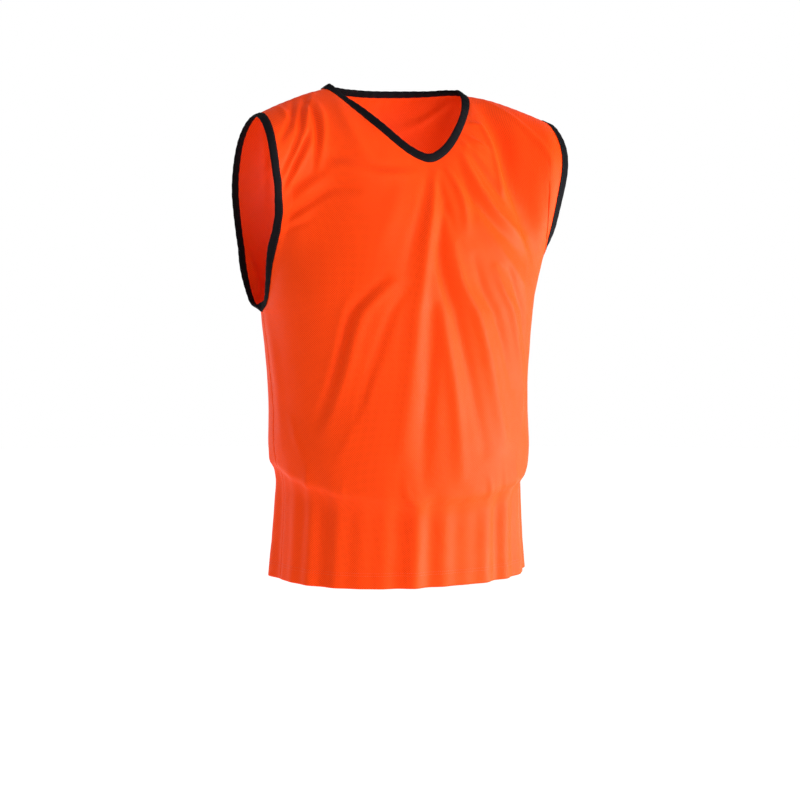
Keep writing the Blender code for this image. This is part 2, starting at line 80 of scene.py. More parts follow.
# Level sections below the armholes, from the underarm down.
SECTIONS = table(
    "name         height   half_width  front   back    middle  squareness  seam    drop",
    [
        ("underarm",  -0.258,  0.1755,    0.128,  0.105,  0.010,  2.25,       0.028,  0.00),
        ("ribs",      -0.315,  0.1705,    0.129,  0.106,  0.009,  2.15,       0.019,  0.10),
        ("waist",     -0.370,  0.1675,    0.129,  0.107,  0.006,  2.10,       0.012,  0.42),
        ("blouse",    -0.412,  0.1690,    0.130,  0.112,  0.004,  2.10,       0.008,  0.85),
        ("gather",    -0.436,  0.1675,    0.128,  0.111,  0.003,  2.10,       0.005,  1.00),
        ("tuck",      -0.4485, 0.1605,    0.1215, 0.105,  0.003,  2.10,       0.005,  1.00),
        ("band",      -0.466,  0.1575,    0.1180, 0.102,  0.003,  2.10,       0.005,  0.95),
        ("hip",       -0.515,  0.1590,    0.1175, 0.106,  0.005,  2.15,       0.005,  0.65),
        ("hem",       -0.580,  0.1640,    0.1180, 0.112,  0.008,  2.20,       0.005,  0.20),
    ],
)
SLOPE_ACROSS = 0.04
SLOPE_FRONT = 0.36
SLOPE_BACK = 0.16

# Half of the neck edge, from the middle of the front to the middle of the back.
NECK = table(
    "name            x       y        z",
    [
        ("front middle", 0.000,  -0.0750, -0.0780),
        ("front curve",  0.017,  -0.0725, -0.0728),
        ("front curve",  0.034,  -0.0665, -0.0610),
        ("front slant",  0.054,  -0.0540, -0.0410),
        ("front slant",  0.0735, -0.0350, -0.0200),
        ("front slant",  0.0865, -0.0175, -0.0040),
        ("front slant",  0.0938, -0.0035, 0.0060),
        ("shoulder",     0.0970, 0.0080,  0.0110),
        ("back curve",   0.0950, 0.0225,  0.0116),
        ("back curve",   0.0870, 0.0370,  0.0116),
        ("back curve",   0.0710, 0.0500,  0.0104),
        ("back curve",   0.0400, 0.0620,  0.0082),
        ("back middle",  0.000,  0.0660,  0.0074),
    ],
)
NECK_SHOULDER_ROW = 7

# One armhole edge, from the underarm up the front, over the shoulder and down the back.
ARMHOLE = table(
    "name            x       y        z",
    [
        ("underarm",     0.1755, 0.0280,  -0.2580),
        ("front curve",  0.1765, 0.0120,  -0.2510),
        ("front curve",  0.1780, 0.0000,  -0.2330),
        ("front side",   0.1808, -0.0135, -0.2030),
        ("front side",   0.1840, -0.0420, -0.1610),
        ("front side",   0.1890, -0.0580, -0.1180),
        ("front side",   0.1955, -0.0610, -0.0760),
        ("front top",    0.1955, -0.0460, -0.0415),
        ("shoulder",     0.1940, -0.0110, -0.0225),
        ("back top",     0.1955, 0.0240,  -0.0390),
        ("back side",    0.1950, 0.0490,  -0.0760),
        ("back side",    0.1900, 0.0650,  -0.1180),
        ("back side",    0.1845, 0.0680,  -0.1610),
        ("back side",    0.1808, 0.0640,  -0.2030),
        ("back curve",   0.1780, 0.0560,  -0.2330),
        ("back curve",   0.1765, 0.0440,  -0.2510),
        ("underarm",     0.1755, 0.0280,  -0.2580),
    ],
)
ARMHOLE_SHOULDER_ROW = 8

# The upright curves of a half panel above the underarm, by how far across they stand.
FRONT_CURVES = table(
    "across   rise   slide  guide_x guide_y guide_z",
    [
        (0.00,    0.065, 0.000, 0.000,  -0.103, -0.128),
        (0.30,    0.072, 0.006, 0.059,  -0.102, -0.094),
        (0.58,    0.082, 0.024, 0.109,  -0.090, -0.032),
        (0.80,    0.072, 0.052, 0.154,  -0.100, -0.036),
        (1.00,    0.058, 0.056, 0.202,  -0.111, -0.056),
    ],
)
BACK_CURVES = table(
    "across   rise   slide  guide_x guide_y guide_z",
    [
        (0.00,    0.080, 0.000, 0.000,  0.112,  -0.034),
        (0.30,    0.080, 0.004, 0.066,  0.112,  -0.026),
        (0.58,    0.082, 0.014, 0.128,  0.101,  -0.010),
        (0.80,    0.070, 0.036, 0.162,  0.095,  -0.026),
        (1.00,    0.060, 0.044, 0.200,  0.083,  -0.057),
    ],
)

# Folds and creases of the cloth. Each lies on a path of four places on its panel; a height
# below zero is a trough. The widths at its two ends are from the middle of the fold to where
# it has almost gone. Most of the large ones follow the construction's own; one wide hollow
# beside the left shoulder and the finer creases are made here alone.
FOLDS = table(
    "panel    a_across a_up   b_across b_up   c_across c_up   d_across d_up   height  width_a width_d",
    [
        ("front", 0.015,  0.90,  -0.08,   0.38,  -0.12,   0.02,  -0.22,   -0.42, 0.0046,  0.0095, 0.018),
        ("front", 0.03,   0.66,  -0.012,  0.30,  0.06,    -0.05, 0.19,    -0.43, -0.0050, 0.009, 0.017),
        ("front", 0.05,   0.40,  0.095,   0.10,  0.16,    -0.05, 0.325,   -0.42, 0.0058,  0.012, 0.019),
        ("front", 0.15,   0.30,  0.185,   0.10,  0.26,    -0.05, 0.40,    -0.27, -0.0040, 0.011, 0.014),
        ("front", -0.02,  0.02,  0.01,    -0.15, 0.045,   -0.32, 0.06,    -0.49, 0.0044,  0.012, 0.017),
        ("front", -0.055, 0.03,  -0.07,   -0.15, -0.10,   -0.33, -0.13,   -0.52, -0.0042, 0.012, 0.018),
        ("front", -0.035, 0.84,  -0.08,   0.63,  -0.13,   0.43,  -0.17,   0.22,  -0.0032, 0.010, 0.014),
        ("front", -0.26,  0.18,  -0.42,   -0.05, -0.50,   -0.20, -0.63,   -0.37, -0.0046, 0.009, 0.012),
        ("front", -0.21,  0.17,  -0.37,   -0.05, -0.45,   -0.20, -0.58,   -0.38, 0.0038,  0.012, 0.014),
        ("front", -0.17,  0.12,  -0.26,   -0.06, -0.34,   -0.20, -0.43,   -0.37, -0.0030, 0.010, 0.011),
        ("front", 0.215,  0.87,  0.255,   0.68,  0.35,    0.465, 0.55,    0.25,  0.0052,  0.009, 0.013),
        ("front", 0.28,   0.86,  0.335,   0.70,  0.395,   0.55,  0.54,    0.36,  -0.0038, 0.009, 0.014),
        ("front", 0.18,   0.72,  0.235,   0.56,  0.33,    0.40,  0.46,    0.23,  -0.0030, 0.010, 0.014),
        ("front", 0.21,   0.48,  0.27,    0.36,  0.34,    0.25,  0.47,    0.09,  0.0028,  0.014, 0.014),
        ("front", 0.61,   0.88,  0.60,    0.70,  0.56,    0.54,  0.60,    0.36,  -0.0075, 0.016, 0.020),
        ("front", 0.56,   0.98,  0.55,    0.72,  0.56,    0.48,  0.64,    0.22,  -0.0072, 0.042, 0.034),
        ("front", 0.93,   0.86,  0.90,    0.58,  0.90,    0.27,  0.95,    -0.04, 0.0110,  0.030, 0.036),
        ("front", -0.98,  0.49,  -0.72,   0.53,  -0.42,   0.64,  -0.14,   0.80,  0.0028,  0.014, 0.014),
        ("front", -0.84,  0.80,  -0.84,   0.73,  -0.90,   0.655, -0.98,   0.61,  0.0026,  0.009, 0.011),
        ("front", -0.92,  0.02,  -0.905,  -0.15, -0.905,  -0.30, -0.90,   -0.46, 0.0028,  0.016, 0.018),
        ("back",  -0.62,  0.62,  -0.50,   0.30,  -0.36,   -0.02, -0.24,   -0.46, 0.0055,  0.018, 0.022),
        ("back",  -0.30,  0.30,  -0.22,   0.00,  -0.12,   -0.26, -0.06,   -0.54, -0.0050, 0.018, 0.022),
        ("back",  0.04,   0.66,  0.06,    0.24,  0.02,    -0.16, 0.05,    -0.52, 0.0045,  0.018, 0.022),
        ("back",  0.66,   0.58,  0.52,    0.24,  0.44,    -0.10, 0.30,    -0.50, 0.0055,  0.016, 0.020),
        ("back",  0.36,   0.34,  0.26,    0.04,  0.22,    -0.20, 0.16,    -0.48, -0.0050, 0.018, 0.022),
        ("back",  -0.96,  0.30,  -0.80,   0.08,  -0.70,   -0.18, -0.62,   -0.44, -0.0045, 0.018, 0.020),
        ("back",  0.94,   0.34,  0.82,    0.06,  0.74,    -0.20, 0.64,    -0.50, -0.0045, 0.018, 0.020),
        ("front", 0.09,   0.87,  0.13,    0.71,  0.14,    0.57,  0.13,    0.47,  0.0032,  0.008, 0.010),
        ("front", 0.17,   0.86,  0.185,   0.74,  0.20,    0.62,  0.19,    0.52,  -0.0016, 0.007, 0.009),
        ("front", 0.30,   0.93,  0.36,    0.84,  0.41,    0.77,  0.44,    0.71,  0.0026,  0.007, 0.009),
        ("front", 0.36,   0.97,  0.42,    0.90,  0.46,    0.85,  0.48,    0.80,  0.0024,  0.007, 0.008),
        ("front", 0.02,   0.86,  0.035,   0.72,  0.05,    0.60,  0.06,    0.50,  -0.0024, 0.008, 0.009),
        ("front", 0.47,   0.86,  0.475,   0.72,  0.43,    0.58,  0.42,    0.49,  0.0040,  0.009, 0.010),
        ("front", 0.25,   0.23,  0.29,    0.10,  0.37,    -0.05, 0.48,    -0.24, 0.0042,  0.010, 0.012),
        ("front", 0.33,   0.22,  0.37,    0.10,  0.455,   -0.05, 0.56,    -0.22, -0.0036, 0.009, 0.011),
        ("front", 0.67,   0.975, 0.74,    0.875, 0.82,    0.785, 0.92,    0.69,  0.0022,  0.006, 0.008),
        ("front", 0.235,  0.955, 0.275,   0.875, 0.315,   0.81,  0.345,   0.75,  0.0024,  0.007, 0.008),
        ("front", 0.46,   -0.14, 0.50,    -0.24, 0.50,    -0.33, 0.48,    -0.41, 0.0026,  0.012, 0.013),
        ("front", -0.20,  0.70,  -0.24,   0.56,  -0.27,   0.43,  -0.30,   0.30,  0.0012,  0.018, 0.020),
        ("front", -0.38,  0.13,  -0.46,   -0.08, -0.53,   -0.20, -0.61,   -0.31, 0.0017,  0.009, 0.010),
        ("front", -0.31,  -0.19, -0.37,   -0.29, -0.43,   -0.365, -0.52,  -0.455, 0.0017, 0.009, 0.011),
        ("front", -0.74,  0.92,  -0.715,  0.80,  -0.715,  0.70,  -0.735,  0.59,  -0.0044, 0.0055, 0.0070),
        ("front", -0.69,  0.92,  -0.67,   0.80,  -0.675,  0.69,  -0.70,   0.58,  0.0028,  0.008, 0.010),
        ("front", -0.775, 0.76,  -0.84,   0.685, -0.905,  0.635, -0.985,  0.585, -0.0046, 0.0050, 0.0056),
        ("front", -0.755, 0.71,  -0.82,   0.645, -0.88,   0.60,  -0.95,   0.555, 0.0026,  0.006, 0.008),
        ("front", -0.72,  0.975, -0.80,   0.86,  -0.85,   0.75,  -0.98,   0.66,  -0.0042, 0.0070, 0.0060),
        ("front", -0.68,  0.985, -0.76,   0.87,  -0.79,   0.80,  -0.80,   0.74,  0.0024,  0.006, 0.007),
        ("front", -0.81,  0.975, -0.845,  0.91,  -0.875,  0.855, -0.96,   0.785, -0.0036, 0.0060, 0.0064),
        ("front", -0.905, 0.985, -0.90,   0.93,  -0.895,  0.89,  -0.88,   0.85,  0.0026,  0.006, 0.007),
        ("front", -0.56,  0.90,  -0.52,   0.82,  -0.46,   0.77,  -0.38,   0.73,  0.0014,  0.010, 0.014),
        ("front", -0.99,  0.55,  -0.86,   0.55,  -0.74,   0.565, -0.60,   0.565, -0.0034, 0.010, 0.012),
        ("front", -0.985, 0.44,  -0.84,   0.445, -0.68,   0.465, -0.44,   0.53,  -0.0034, 0.0075, 0.010),
        ("front", -0.97,  0.385, -0.84,   0.385, -0.74,   0.385, -0.62,   0.435, -0.0022, 0.007, 0.009),
        ("front", -0.97,  0.40,  -0.82,   0.41,  -0.70,   0.415, -0.58,   0.46,  0.0018,  0.009, 0.010),
        ("front", -0.62,  0.60,  -0.44,   0.67,  -0.28,   0.75,  -0.13,   0.86,  -0.0022, 0.013, 0.012),
        ("front", -0.82,  -0.36, -0.79,   -0.40, -0.76,   -0.44, -0.72,   -0.48, 0.0013,  0.009, 0.010),
        ("front", -0.215, -0.50, -0.20,   -0.545, -0.165, -0.57, -0.12,   -0.59, 0.0018,  0.007, 0.008),
        ("front", 0.21,   -0.50, 0.23,    -0.53, 0.235,   -0.56, 0.24,    -0.59, 0.0013,  0.006, 0.007),
        ("front", 0.32,   -0.48, 0.335,   -0.52, 0.345,   -0.55, 0.345,   -0.58, 0.0012,  0.006, 0.007),
        ("front", 0.42,   -0.49, 0.43,    -0.52, 0.44,    -0.55, 0.44,    -0.58, 0.0014,  0.007, 0.008),
        ("front", -0.50,  -0.50, -0.505,  -0.53, -0.51,   -0.56, -0.51,   -0.59, 0.0011,  0.006, 0.007),
        ("front", -0.70,  -0.50, -0.71,   -0.53, -0.715,  -0.56, -0.72,   -0.59, 0.0013,  0.007, 0.008),
        ("back",  -0.88,  0.86,  -0.80,   0.70,  -0.74,   0.52,  -0.70,   0.36,  0.0026,  0.010, 0.016),
        ("back",  0.90,   0.84,  0.80,    0.66,  0.72,    0.50,  0.70,    0.34,  0.0028,  0.010, 0.017),
        ("back",  -0.97,  0.58,  -0.84,   0.55,  -0.70,   0.58,  -0.54,   0.64,  -0.0020, 0.012, 0.015),
        ("back",  0.97,   0.54,  0.82,    0.52,  0.68,    0.56,  0.50,    0.64,  -0.0022, 0.012, 0.014),
        ("back",  -0.46,  0.92,  -0.38,   0.84,  -0.26,   0.79,  -0.12,   0.78,  -0.0016, 0.009, 0.012),
        ("back",  0.48,   0.92,  0.38,    0.83,  0.24,    0.78,  0.10,    0.78,  -0.0017, 0.009, 0.012),
        ("back",  -0.14,  0.52,  -0.12,   0.22,  -0.04,   -0.10, -0.02,   -0.34, 0.0022,  0.012, 0.014),
        ("back",  0.20,   0.50,  0.16,    0.20,  0.12,    -0.10, 0.10,    -0.36, -0.0022, 0.012, 0.014),
        ("back",  -0.70,  0.18,  -0.58,   -0.06, -0.48,   -0.28, -0.40,   -0.52, 0.0026,  0.012, 0.015),
        ("back",  0.70,   0.16,  0.60,    -0.08, 0.52,    -0.28, 0.44,    -0.54, 0.0024,  0.012, 0.014),
        ("back",  -0.52,  -0.50, -0.53,   -0.53, -0.535,  -0.56, -0.54,   -0.59, 0.0013,  0.007, 0.008),
        ("back",  -0.16,  -0.49, -0.165,  -0.52, -0.16,   -0.55, -0.16,   -0.58, 0.0014,  0.007, 0.008),
        ("back",  0.38,   -0.49, 0.39,    -0.52, 0.395,   -0.55, 0.40,    -0.58, 0.0013,  0.007, 0.008),
        ("back",  0.76,   -0.48, 0.765,   -0.52, 0.77,    -0.55, 0.77,    -0.58, 0.0012,  0.007, 0.008),
    ],
)
PATH_STEPS = 28
FOLD_REACH = 2.4         # widths from a fold's path within which its height is worked out
FOLD_STEEPNESS = 1.6     # how fast a fold's height falls off across it
FOLD_ENDS = 0.08         # part of the fade that is left off at each end of a fold
FOLD_FADE = 0.8          # power of the fade along a fold, which keeps its middle broad

# Uneven pleats that the waistband leaves in the tucked cloth, as waves round the body.
PLEATS = table(
    "waves   phase   height",
    [
        (19,     0.4,    0.0016),
        (26,     2.1,    0.0013),
        (11,     4.0,    0.0010),
    ],
)
PLEATS_START = -0.42     # how far up the pleats begin to show
PLEATS_FULL = -0.74

# Slight unevenness of the whole cloth.
RIPPLES = table(
    "size    height",
    [
        (0.060,  0.0009),
        (0.023,  0.00035),
        (0.009,  0.00010),
    ],
)
SEAM_GROOVE = 0.0007
SEAM_GROOVE_WIDTH = 0.0016
PUCKER_HEIGHT = 0.00020
PUCKER_LENGTH = 0.0115
PUCKER_REACH = 0.008
SIDE_DRIFT = 0.031       # length over which the puckers' spacing wanders
SHOULDER_DRIFT = 0.027


class ClothSettings(bpy.types.PropertyGroup):
    """Sizes and colours of the mesh cloth."""

    colour: FloatVectorProperty(
        name="Cloth colour",
        description="Colour of the knitted yarn",
        subtype="COLOR",
        size=4,
        min=0.0,
        max=1.0,
        default=(0.930, 0.0600, 0.0030, 1.0),
    )
    # Painted shade: a darker colour in the holes stands in for the shade seen through them.
    hole_shade_colour: FloatVectorProperty(
        name="Hole colour",
        description="Colour seen in the holes of the mesh",
        subtype="COLOR",
        size=4,
        min=0.0,
        max=1.0,
        default=(0.520, 0.019, 0.0012, 1.0),
    )
    thickness: FloatProperty(
        name="Cloth thickness",
        description="Thickness of one layer of mesh",
        default=0.0007,
        min=0.0003,
        max=0.002,
        precision=4,
        unit="LENGTH",
    )
    hole_pitch: FloatProperty(
        name="Hole pitch",
        description="Distance from one hole of the mesh to the next",
        default=0.0019,
        min=0.001,
        max=0.006,
        precision=4,
        unit="LENGTH",
    )
    hem_width: FloatProperty(
        name="Hem width",
        description="Height of the turned-up hem",
        default=0.020,
        min=0.008,
        max=0.040,
        precision=3,
        unit="LENGTH",
    )


class TapeSettings(bpy.types.PropertyGroup):
    """Sizes and colour of the knitted tape that binds the edges."""

    colour: FloatVectorProperty(
        name="Tape colour",
        description="Colour of the tape",
        subtype="COLOR",
        size=4,
        min=0.0,
        max=1.0,
        default=(0.0030, 0.0027, 0.0038, 1.0),
    )
    width: FloatProperty(
        name="Tape width",
        description="Width of the folded tape beyond the cloth",
        default=0.0092,
        min=0.006,
        max=0.016,
        precision=4,
        unit="LENGTH",
    )
    thickness: FloatProperty(
        name="Tape thickness",
        description="Thickness of one layer of tape",
        default=0.0005,
        min=0.0003,
        max=0.001,
        precision=4,
        unit="LENGTH",
    )
    rib_pitch: FloatProperty(
        name="Rib pitch",
        description="Distance from one knitted rib of the tape to the next",
        default=0.0009,
        min=0.0004,
        max=0.003,
        precision=4,
        unit="LENGTH",
    )


class SewingSettings(bpy.types.PropertyGroup):
    """Sizes and colours of the stitches."""

    stitch: FloatProperty(
        name="Stitch length",
        description="Length of thread that shows in one stitch",
        default=0.0021,
        min=0.001,
        max=0.006,
        precision=4,
        unit="LENGTH",
    )
    pitch: FloatProperty(
        name="Stitch pitch",
        description="Distance from one stitch to the next",
        default=0.0027,
        min=0.0015,
        max=0.008,
        precision=4,
        unit="LENGTH",
    )
    thread: FloatProperty(
        name="Thread thickness",
        description="Thickness of the sewing thread",
        default=0.00036,
        min=0.0002,
        max=0.001,
        precision=5,
        unit="LENGTH",
    )
    seed: IntProperty(
        name="Seed",
        description="Seed of the slight unevenness of the stitches",
        default=11,
        min=0,
    )


class StageSettings(bpy.types.PropertyGroup):
    """Light and floor."""

    floor_height: FloatProperty(
        name="Floor height",
        description="Height of the floor below the bib",
        default=-1.42,
        min=-3.0,
        max=-0.6,
        unit="LENGTH",
    )
    key_power: FloatProperty(
        name="Key light",
        description="Power of the soft light on the garment's left side",
        default=64.0,
        min=0.0,
        max=1000.0,
        unit="POWER",
    )
    front_power: FloatProperty(
        name="Front light",
        description="Power of the soft light in front",
        default=58.0,
        min=0.0,
        max=1000.0,
        unit="POWER",
    )
    top_power: FloatProperty(
        name="Top light",
        description="Power of the soft light above",
        default=15.0,
        min=0.0,
        max=1000.0,
        unit="POWER",
    )
    fill_power: FloatProperty(
        name="Rear light",
        description="Power of the soft light behind",
        default=22.0,
        min=0.0,
        max=1000.0,
        unit="POWER",
    )
    room: FloatProperty(
        name="Room light",
        description="Strength of the even white light of the room",
        default=0.53,
        min=0.0,
        max=2.0,
    )


def smooth(rows, key, name, at):
    """The named column where the key column has the given value, with no overshoot."""
    order = sorted(rows, key=lambda row: row[key])
    keys = np.array([row[key] for row in order])
    values = np.array([row[name] for row in order])
    at = np.clip(at, keys[0], keys[-1])
    step = np.diff(keys)
    rise = np.diff(values) / step
    slope = np.empty_like(values)
    slope[0] = rise[0]
    slope[-1] = rise[-1]
    for i in range(1, len(values) - 1):
        turns = rise[i - 1] * rise[i] <= 0.0
        slope[i] = 0.0 if turns else 2.0 * rise[i - 1] * rise[i] / (rise[i - 1] + rise[i])
    i = np.clip(np.searchsorted(keys, at, side="right") - 1, 0, len(keys) - 2)
    t = (at - keys[i]) / step[i]
    return (
        (1 + 2 * t) * (1 - t) ** 2 * values[i]
        + t * (1 - t) ** 2 * step[i] * slope[i]
        + t * t * (3 - 2 * t) * values[i + 1]
        + t * t * (t - 1) * step[i] * slope[i + 1]
    )


def spline(points):
    """A natural cubic through the points: its parameter at each point, and the curve."""
    points = np.asarray(points, float)
    knots = np.concatenate([[0.0], np.cumsum(np.linalg.norm(np.diff(points, axis=0), axis=1))])
    step = np.diff(knots)
    count = len(points)
    matrix = np.eye(count)
    right = np.zeros_like(points)
    for i in range(1, count - 1):
        matrix[i, i - 1] = step[i - 1]
        matrix[i, i] = 2.0 * (step[i - 1] + step[i])
        matrix[i, i + 1] = step[i]
        rise_after = (points[i + 1] - points[i]) / step[i]
        rise_before = (points[i] - points[i - 1]) / step[i - 1]
        right[i] = 6.0 * (rise_after - rise_before)
    bend = np.linalg.solve(matrix, right)

    def curve(at):
        i = np.clip(np.searchsorted(knots, at, side="right") - 1, 0, count - 2)
        h = step[i][..., None]
        a = (knots[i + 1] - at)[..., None] / h
        b = (at - knots[i])[..., None] / h
        bent = (a**3 - a) * bend[i] + (b**3 - b) * bend[i + 1]
        return a * points[i] + b * points[i + 1] + bent * h**2 / 6.0

    return knots, curve


def by_length(curve, start, end, share, samples=600):
    """Points of the curve between two parameters, at shares of the length between them."""
    at = np.linspace(start, end, samples)
    points = curve(at)
    run = np.concatenate([[0.0], np.cumsum(np.linalg.norm(np.diff(points, axis=0), axis=1))])
    return curve(np.interp(share * run[-1], run, at))


def places(rows):
    return np.array([(row["x"], row["y"], row["z"]) for row in rows])


def mirrored(points):
    return points * (-1.0, 1.0, 1.0)


def unit(vectors):
    return vectors / np.linalg.norm(vectors, axis=-1, keepdims=True)


def section_values(height, names):
    """The named measures of the level section at a height."""
    return [smooth(SECTIONS, "height", name, height) for name in names.split()]


def section_reach(angle, square):
    """How far a section reaches at an angle, in parts of its half width or its depth."""
    return (np.abs(np.sin(angle)) ** square + np.abs(np.cos(angle)) ** square) ** (-1.0 / square)


def section_point(height, angle):
    """A point of a level section: the angle is 0 at the front middle and turns to the left."""
    half_width, square, middle, drop, front, back = section_values(
        height, "half_width squareness middle drop front back"
    )
    cosine = np.cos(angle)
    reach = section_reach(angle, square)
    x = half_width * reach * np.sin(angle)
    y = middle - np.where(cosine > 0.0, front, back) * reach * cosine
    slope = np.where(y < 0.0, SLOPE_FRONT, SLOPE_BACK) * y + SLOPE_ACROSS * x
    return np.stack([x, y, height + drop * slope], -1)


def seam_angle(height):
    """The angle at which a section meets the left side seam."""
    middle, seam, front, back, square = section_values(height, "middle seam front back squareness")
    depth = np.where(seam < middle, front, back)
    angle = np.pi / 2 + np.arcsin((seam - middle) / depth)
    for _ in range(SEAM_PASSES):
        reach = section_reach(angle, square)
        angle = angle - (middle - depth * reach * np.cos(angle) - seam) / depth
    return angle


def angle_at(side, across, height):
    """The angle of a place on a panel, by how far across it is at a given height."""
    edge = seam_angle(height)
    return across * edge if side == "front" else np.pi - across * (np.pi - edge)


NECK_ROWS = places(NECK)
NECK_KNOTS, NECK_CURVE = spline(
    np.concatenate([mirrored(NECK_ROWS[2:0:-1]), NECK_ROWS, mirrored(NECK_ROWS[-2:-4:-1])])
)
ARMHOLE_KNOTS, ARMHOLE_CURVE = spline(places(ARMHOLE))
UNDERARM = SECTIONS[0]["height"]
HEM = SECTIONS[-1]["height"]


def neck_point(side, share):
    """The left half of the neck edge: share is 0 at the middle and 1 at the shoulder."""
    middle = NECK_KNOTS[2] if side == "front" else NECK_KNOTS[1 + len(NECK_ROWS)]
    return by_length(NECK_CURVE, middle, NECK_KNOTS[2 + NECK_SHOULDER_ROW], share)


def armhole_point(side, share):
    """The left armhole edge: share is 0 at the underarm and 1 at the shoulder."""
    underarm = ARMHOLE_KNOTS[0] if side == "front" else ARMHOLE_KNOTS[-1]
    return by_length(ARMHOLE_CURVE, underarm, ARMHOLE_KNOTS[ARMHOLE_SHOULDER_ROW], share)


def shoulder_point(share):
    """The left shoulder seam: share is 0 at the neck and 1 at the armhole."""
    neck = NECK_ROWS[NECK_SHOULDER_ROW]
    tip = places(ARMHOLE)[ARMHOLE_SHOULDER_ROW]
    share = np.asarray(share)[..., None]
    bowed = (1.0 - SHOULDER_BOW) * share + SHOULDER_BOW * share**2
    return neck + (tip - neck) * np.concatenate([share, share, bowed], -1)


def top_point(side, across):
    """Where an upright line of the left half panel ends, at the neck or the shoulder seam."""
    at_neck = neck_point(side, np.clip(across / NECK_SHARE, 0.0, 1.0))
    at_shoulder = shoulder_point(np.clip((across - NECK_SHARE) / (1 - NECK_SHARE), 0.0, 1.0))
    return np.where((across <= NECK_SHARE)[..., None], at_neck, at_shoulder)


def upright(side, across, up):
    """The cubic curve that one upright line of the left half panel follows."""
    curves = FRONT_CURVES if side == "front" else BACK_CURVES
    angle = angle_at(side, across, UNDERARM)
    step = 0.004
    start = section_point(UNDERARM, angle)
    below = section_point(UNDERARM - step, angle_at(side, across, UNDERARM - step))
    toward = section_point(UNDERARM, angle_at(side, across - step, UNDERARM))
    rise = smooth(curves, "across", "rise", across)[..., None] * unit(start - below)
    slide = smooth(curves, "across", "slide", across)[..., None] * unit(toward - start)
    guide = np.stack([smooth(curves, "across", f"guide_{axis}", across) for axis in "xyz"], -1)
    end = top_point(side, across)
    t = up[..., None]
    return (
        (1 - t) ** 3 * start
        + 3 * t * (1 - t) ** 2 * (start + rise + slide)
        + 3 * t * t * (1 - t) * guide
        + t**3 * end
    )


def panel_point(side, across, up):
    """A point of the smooth panel, before its folds."""
    across, up = np.broadcast_arrays(np.asarray(across, float), np.asarray(up, float))
    half = np.abs(across)
    low = UNDERARM + np.minimum(up, 0.0) * (UNDERARM - HEM)
    body = section_point(low, angle_at(side, across, low))
    high = np.maximum(up, 0.0)
    chest = upright(side, half, high)
    pull = armhole_point(side, high) - upright(side, np.ones_like(half), high)
    chest = chest + (half**ARMHOLE_PULL)[..., None] * pull
    chest = np.where((across < 0.0)[..., None], mirrored(chest), chest)
    return np.where((up > 0.0)[..., None], chest, body)


def fold_paths():
    """Each fold's row with the points that its middle line follows."""
    found = []
    for row in FOLDS:
        marks = [(row[f"{name}_across"], row[f"{name}_up"], 0.0) for name in "abcd"]
        knots, curve = spline(marks)
        marks = curve(np.linspace(0.0, knots[-1], PATH_STEPS))
        found.append((row, panel_point(row["panel"], marks[:, 0], marks[:, 1])))
    return found


def fold_lift(points, paths):
    """How far the folds move each point of the cloth outward."""
    shape = points.shape[:-1]
    points = points.reshape(-1, 3)
    lift = np.zeros(len(points))
    for row, path in paths:
        reach = FOLD_REACH * max(row["width_a"], row["width_d"])
        near = np.all((points > path.min(0) - reach) & (points < path.max(0) + reach), axis=1)
        if not near.any():
            continue
        here = points[near]
        nearest = np.full(len(here), 1.0)
        along = np.zeros(len(here))
        for i in range(len(path) - 1):
            leg = path[i + 1] - path[i]
            t = np.clip(((here - path[i]) @ leg) / (leg @ leg), 0.0, 1.0)
            distance = np.linalg.norm(here - path[i] - t[:, None] * leg, axis=1)
            closer = distance < nearest
            nearest = np.where(closer, distance, nearest)
            along = np.where(closer, (i + t) / (len(path) - 1), along)
        width = row["width_a"] + (row["width_d"] - row["width_a"]) * along
        fade = np.sin(np.pi * (FOLD_ENDS + (1.0 - 2.0 * FOLD_ENDS) * along)) ** FOLD_FADE
        lift[near] += row["height"] * fade * np.exp(-((FOLD_STEEPNESS * nearest / width) ** 2))
    return lift.reshape(shape)


def pleat_lift(side, across, up):
    """How far the waistband's pleats move each point of a panel outward."""
    turn = angle_at(side, across, UNDERARM)
    strength = np.clip((PLEATS_START - up) / (PLEATS_START - PLEATS_FULL), 0.0, 1.0)
    wave = np.zeros(np.broadcast(across, up).shape)
    for row in PLEATS:
        wave += row["height"] * np.sin(row["waves"] * turn + row["phase"])
    return wave * strength**2 * (3.0 - 2.0 * strength)


def ripple_lift(points):
    """Slight unevenness of the cloth, from smooth noise in space."""
    lift = np.zeros(points.shape[:-1])
    flat = points.reshape(-1, 3)
    for row in RIPPLES:
        scaled = flat / row["size"]
        values = np.array([noise.noise(Vector(place)) for place in scaled])
        lift += row["height"] * values.reshape(lift.shape)
    return lift


def run_along(points, axis):
    """The length along a grid direction, from its first point."""
    steps = np.linalg.norm(np.diff(points, axis=axis), axis=-1)
    run = np.cumsum(steps, axis=axis)
    pad = [(0, 0), (0, 0)]
    pad[axis] = (1, 0)
    return np.pad(run, pad)


def sewn_lift(away, place, drift, seam):
    """The groove where there is a seam, and the puckers along any sewn edge."""
    groove = -SEAM_GROOVE * np.exp(-((away / SEAM_GROOVE_WIDTH) ** 2))
    wave = np.sin(2 * np.pi * place / PUCKER_LENGTH + 2.0 * np.sin(place / drift))
    pucker = PUCKER_HEIGHT * wave * np.exp(-away / PUCKER_REACH)
    return np.where(seam, groove, 0.0) + pucker


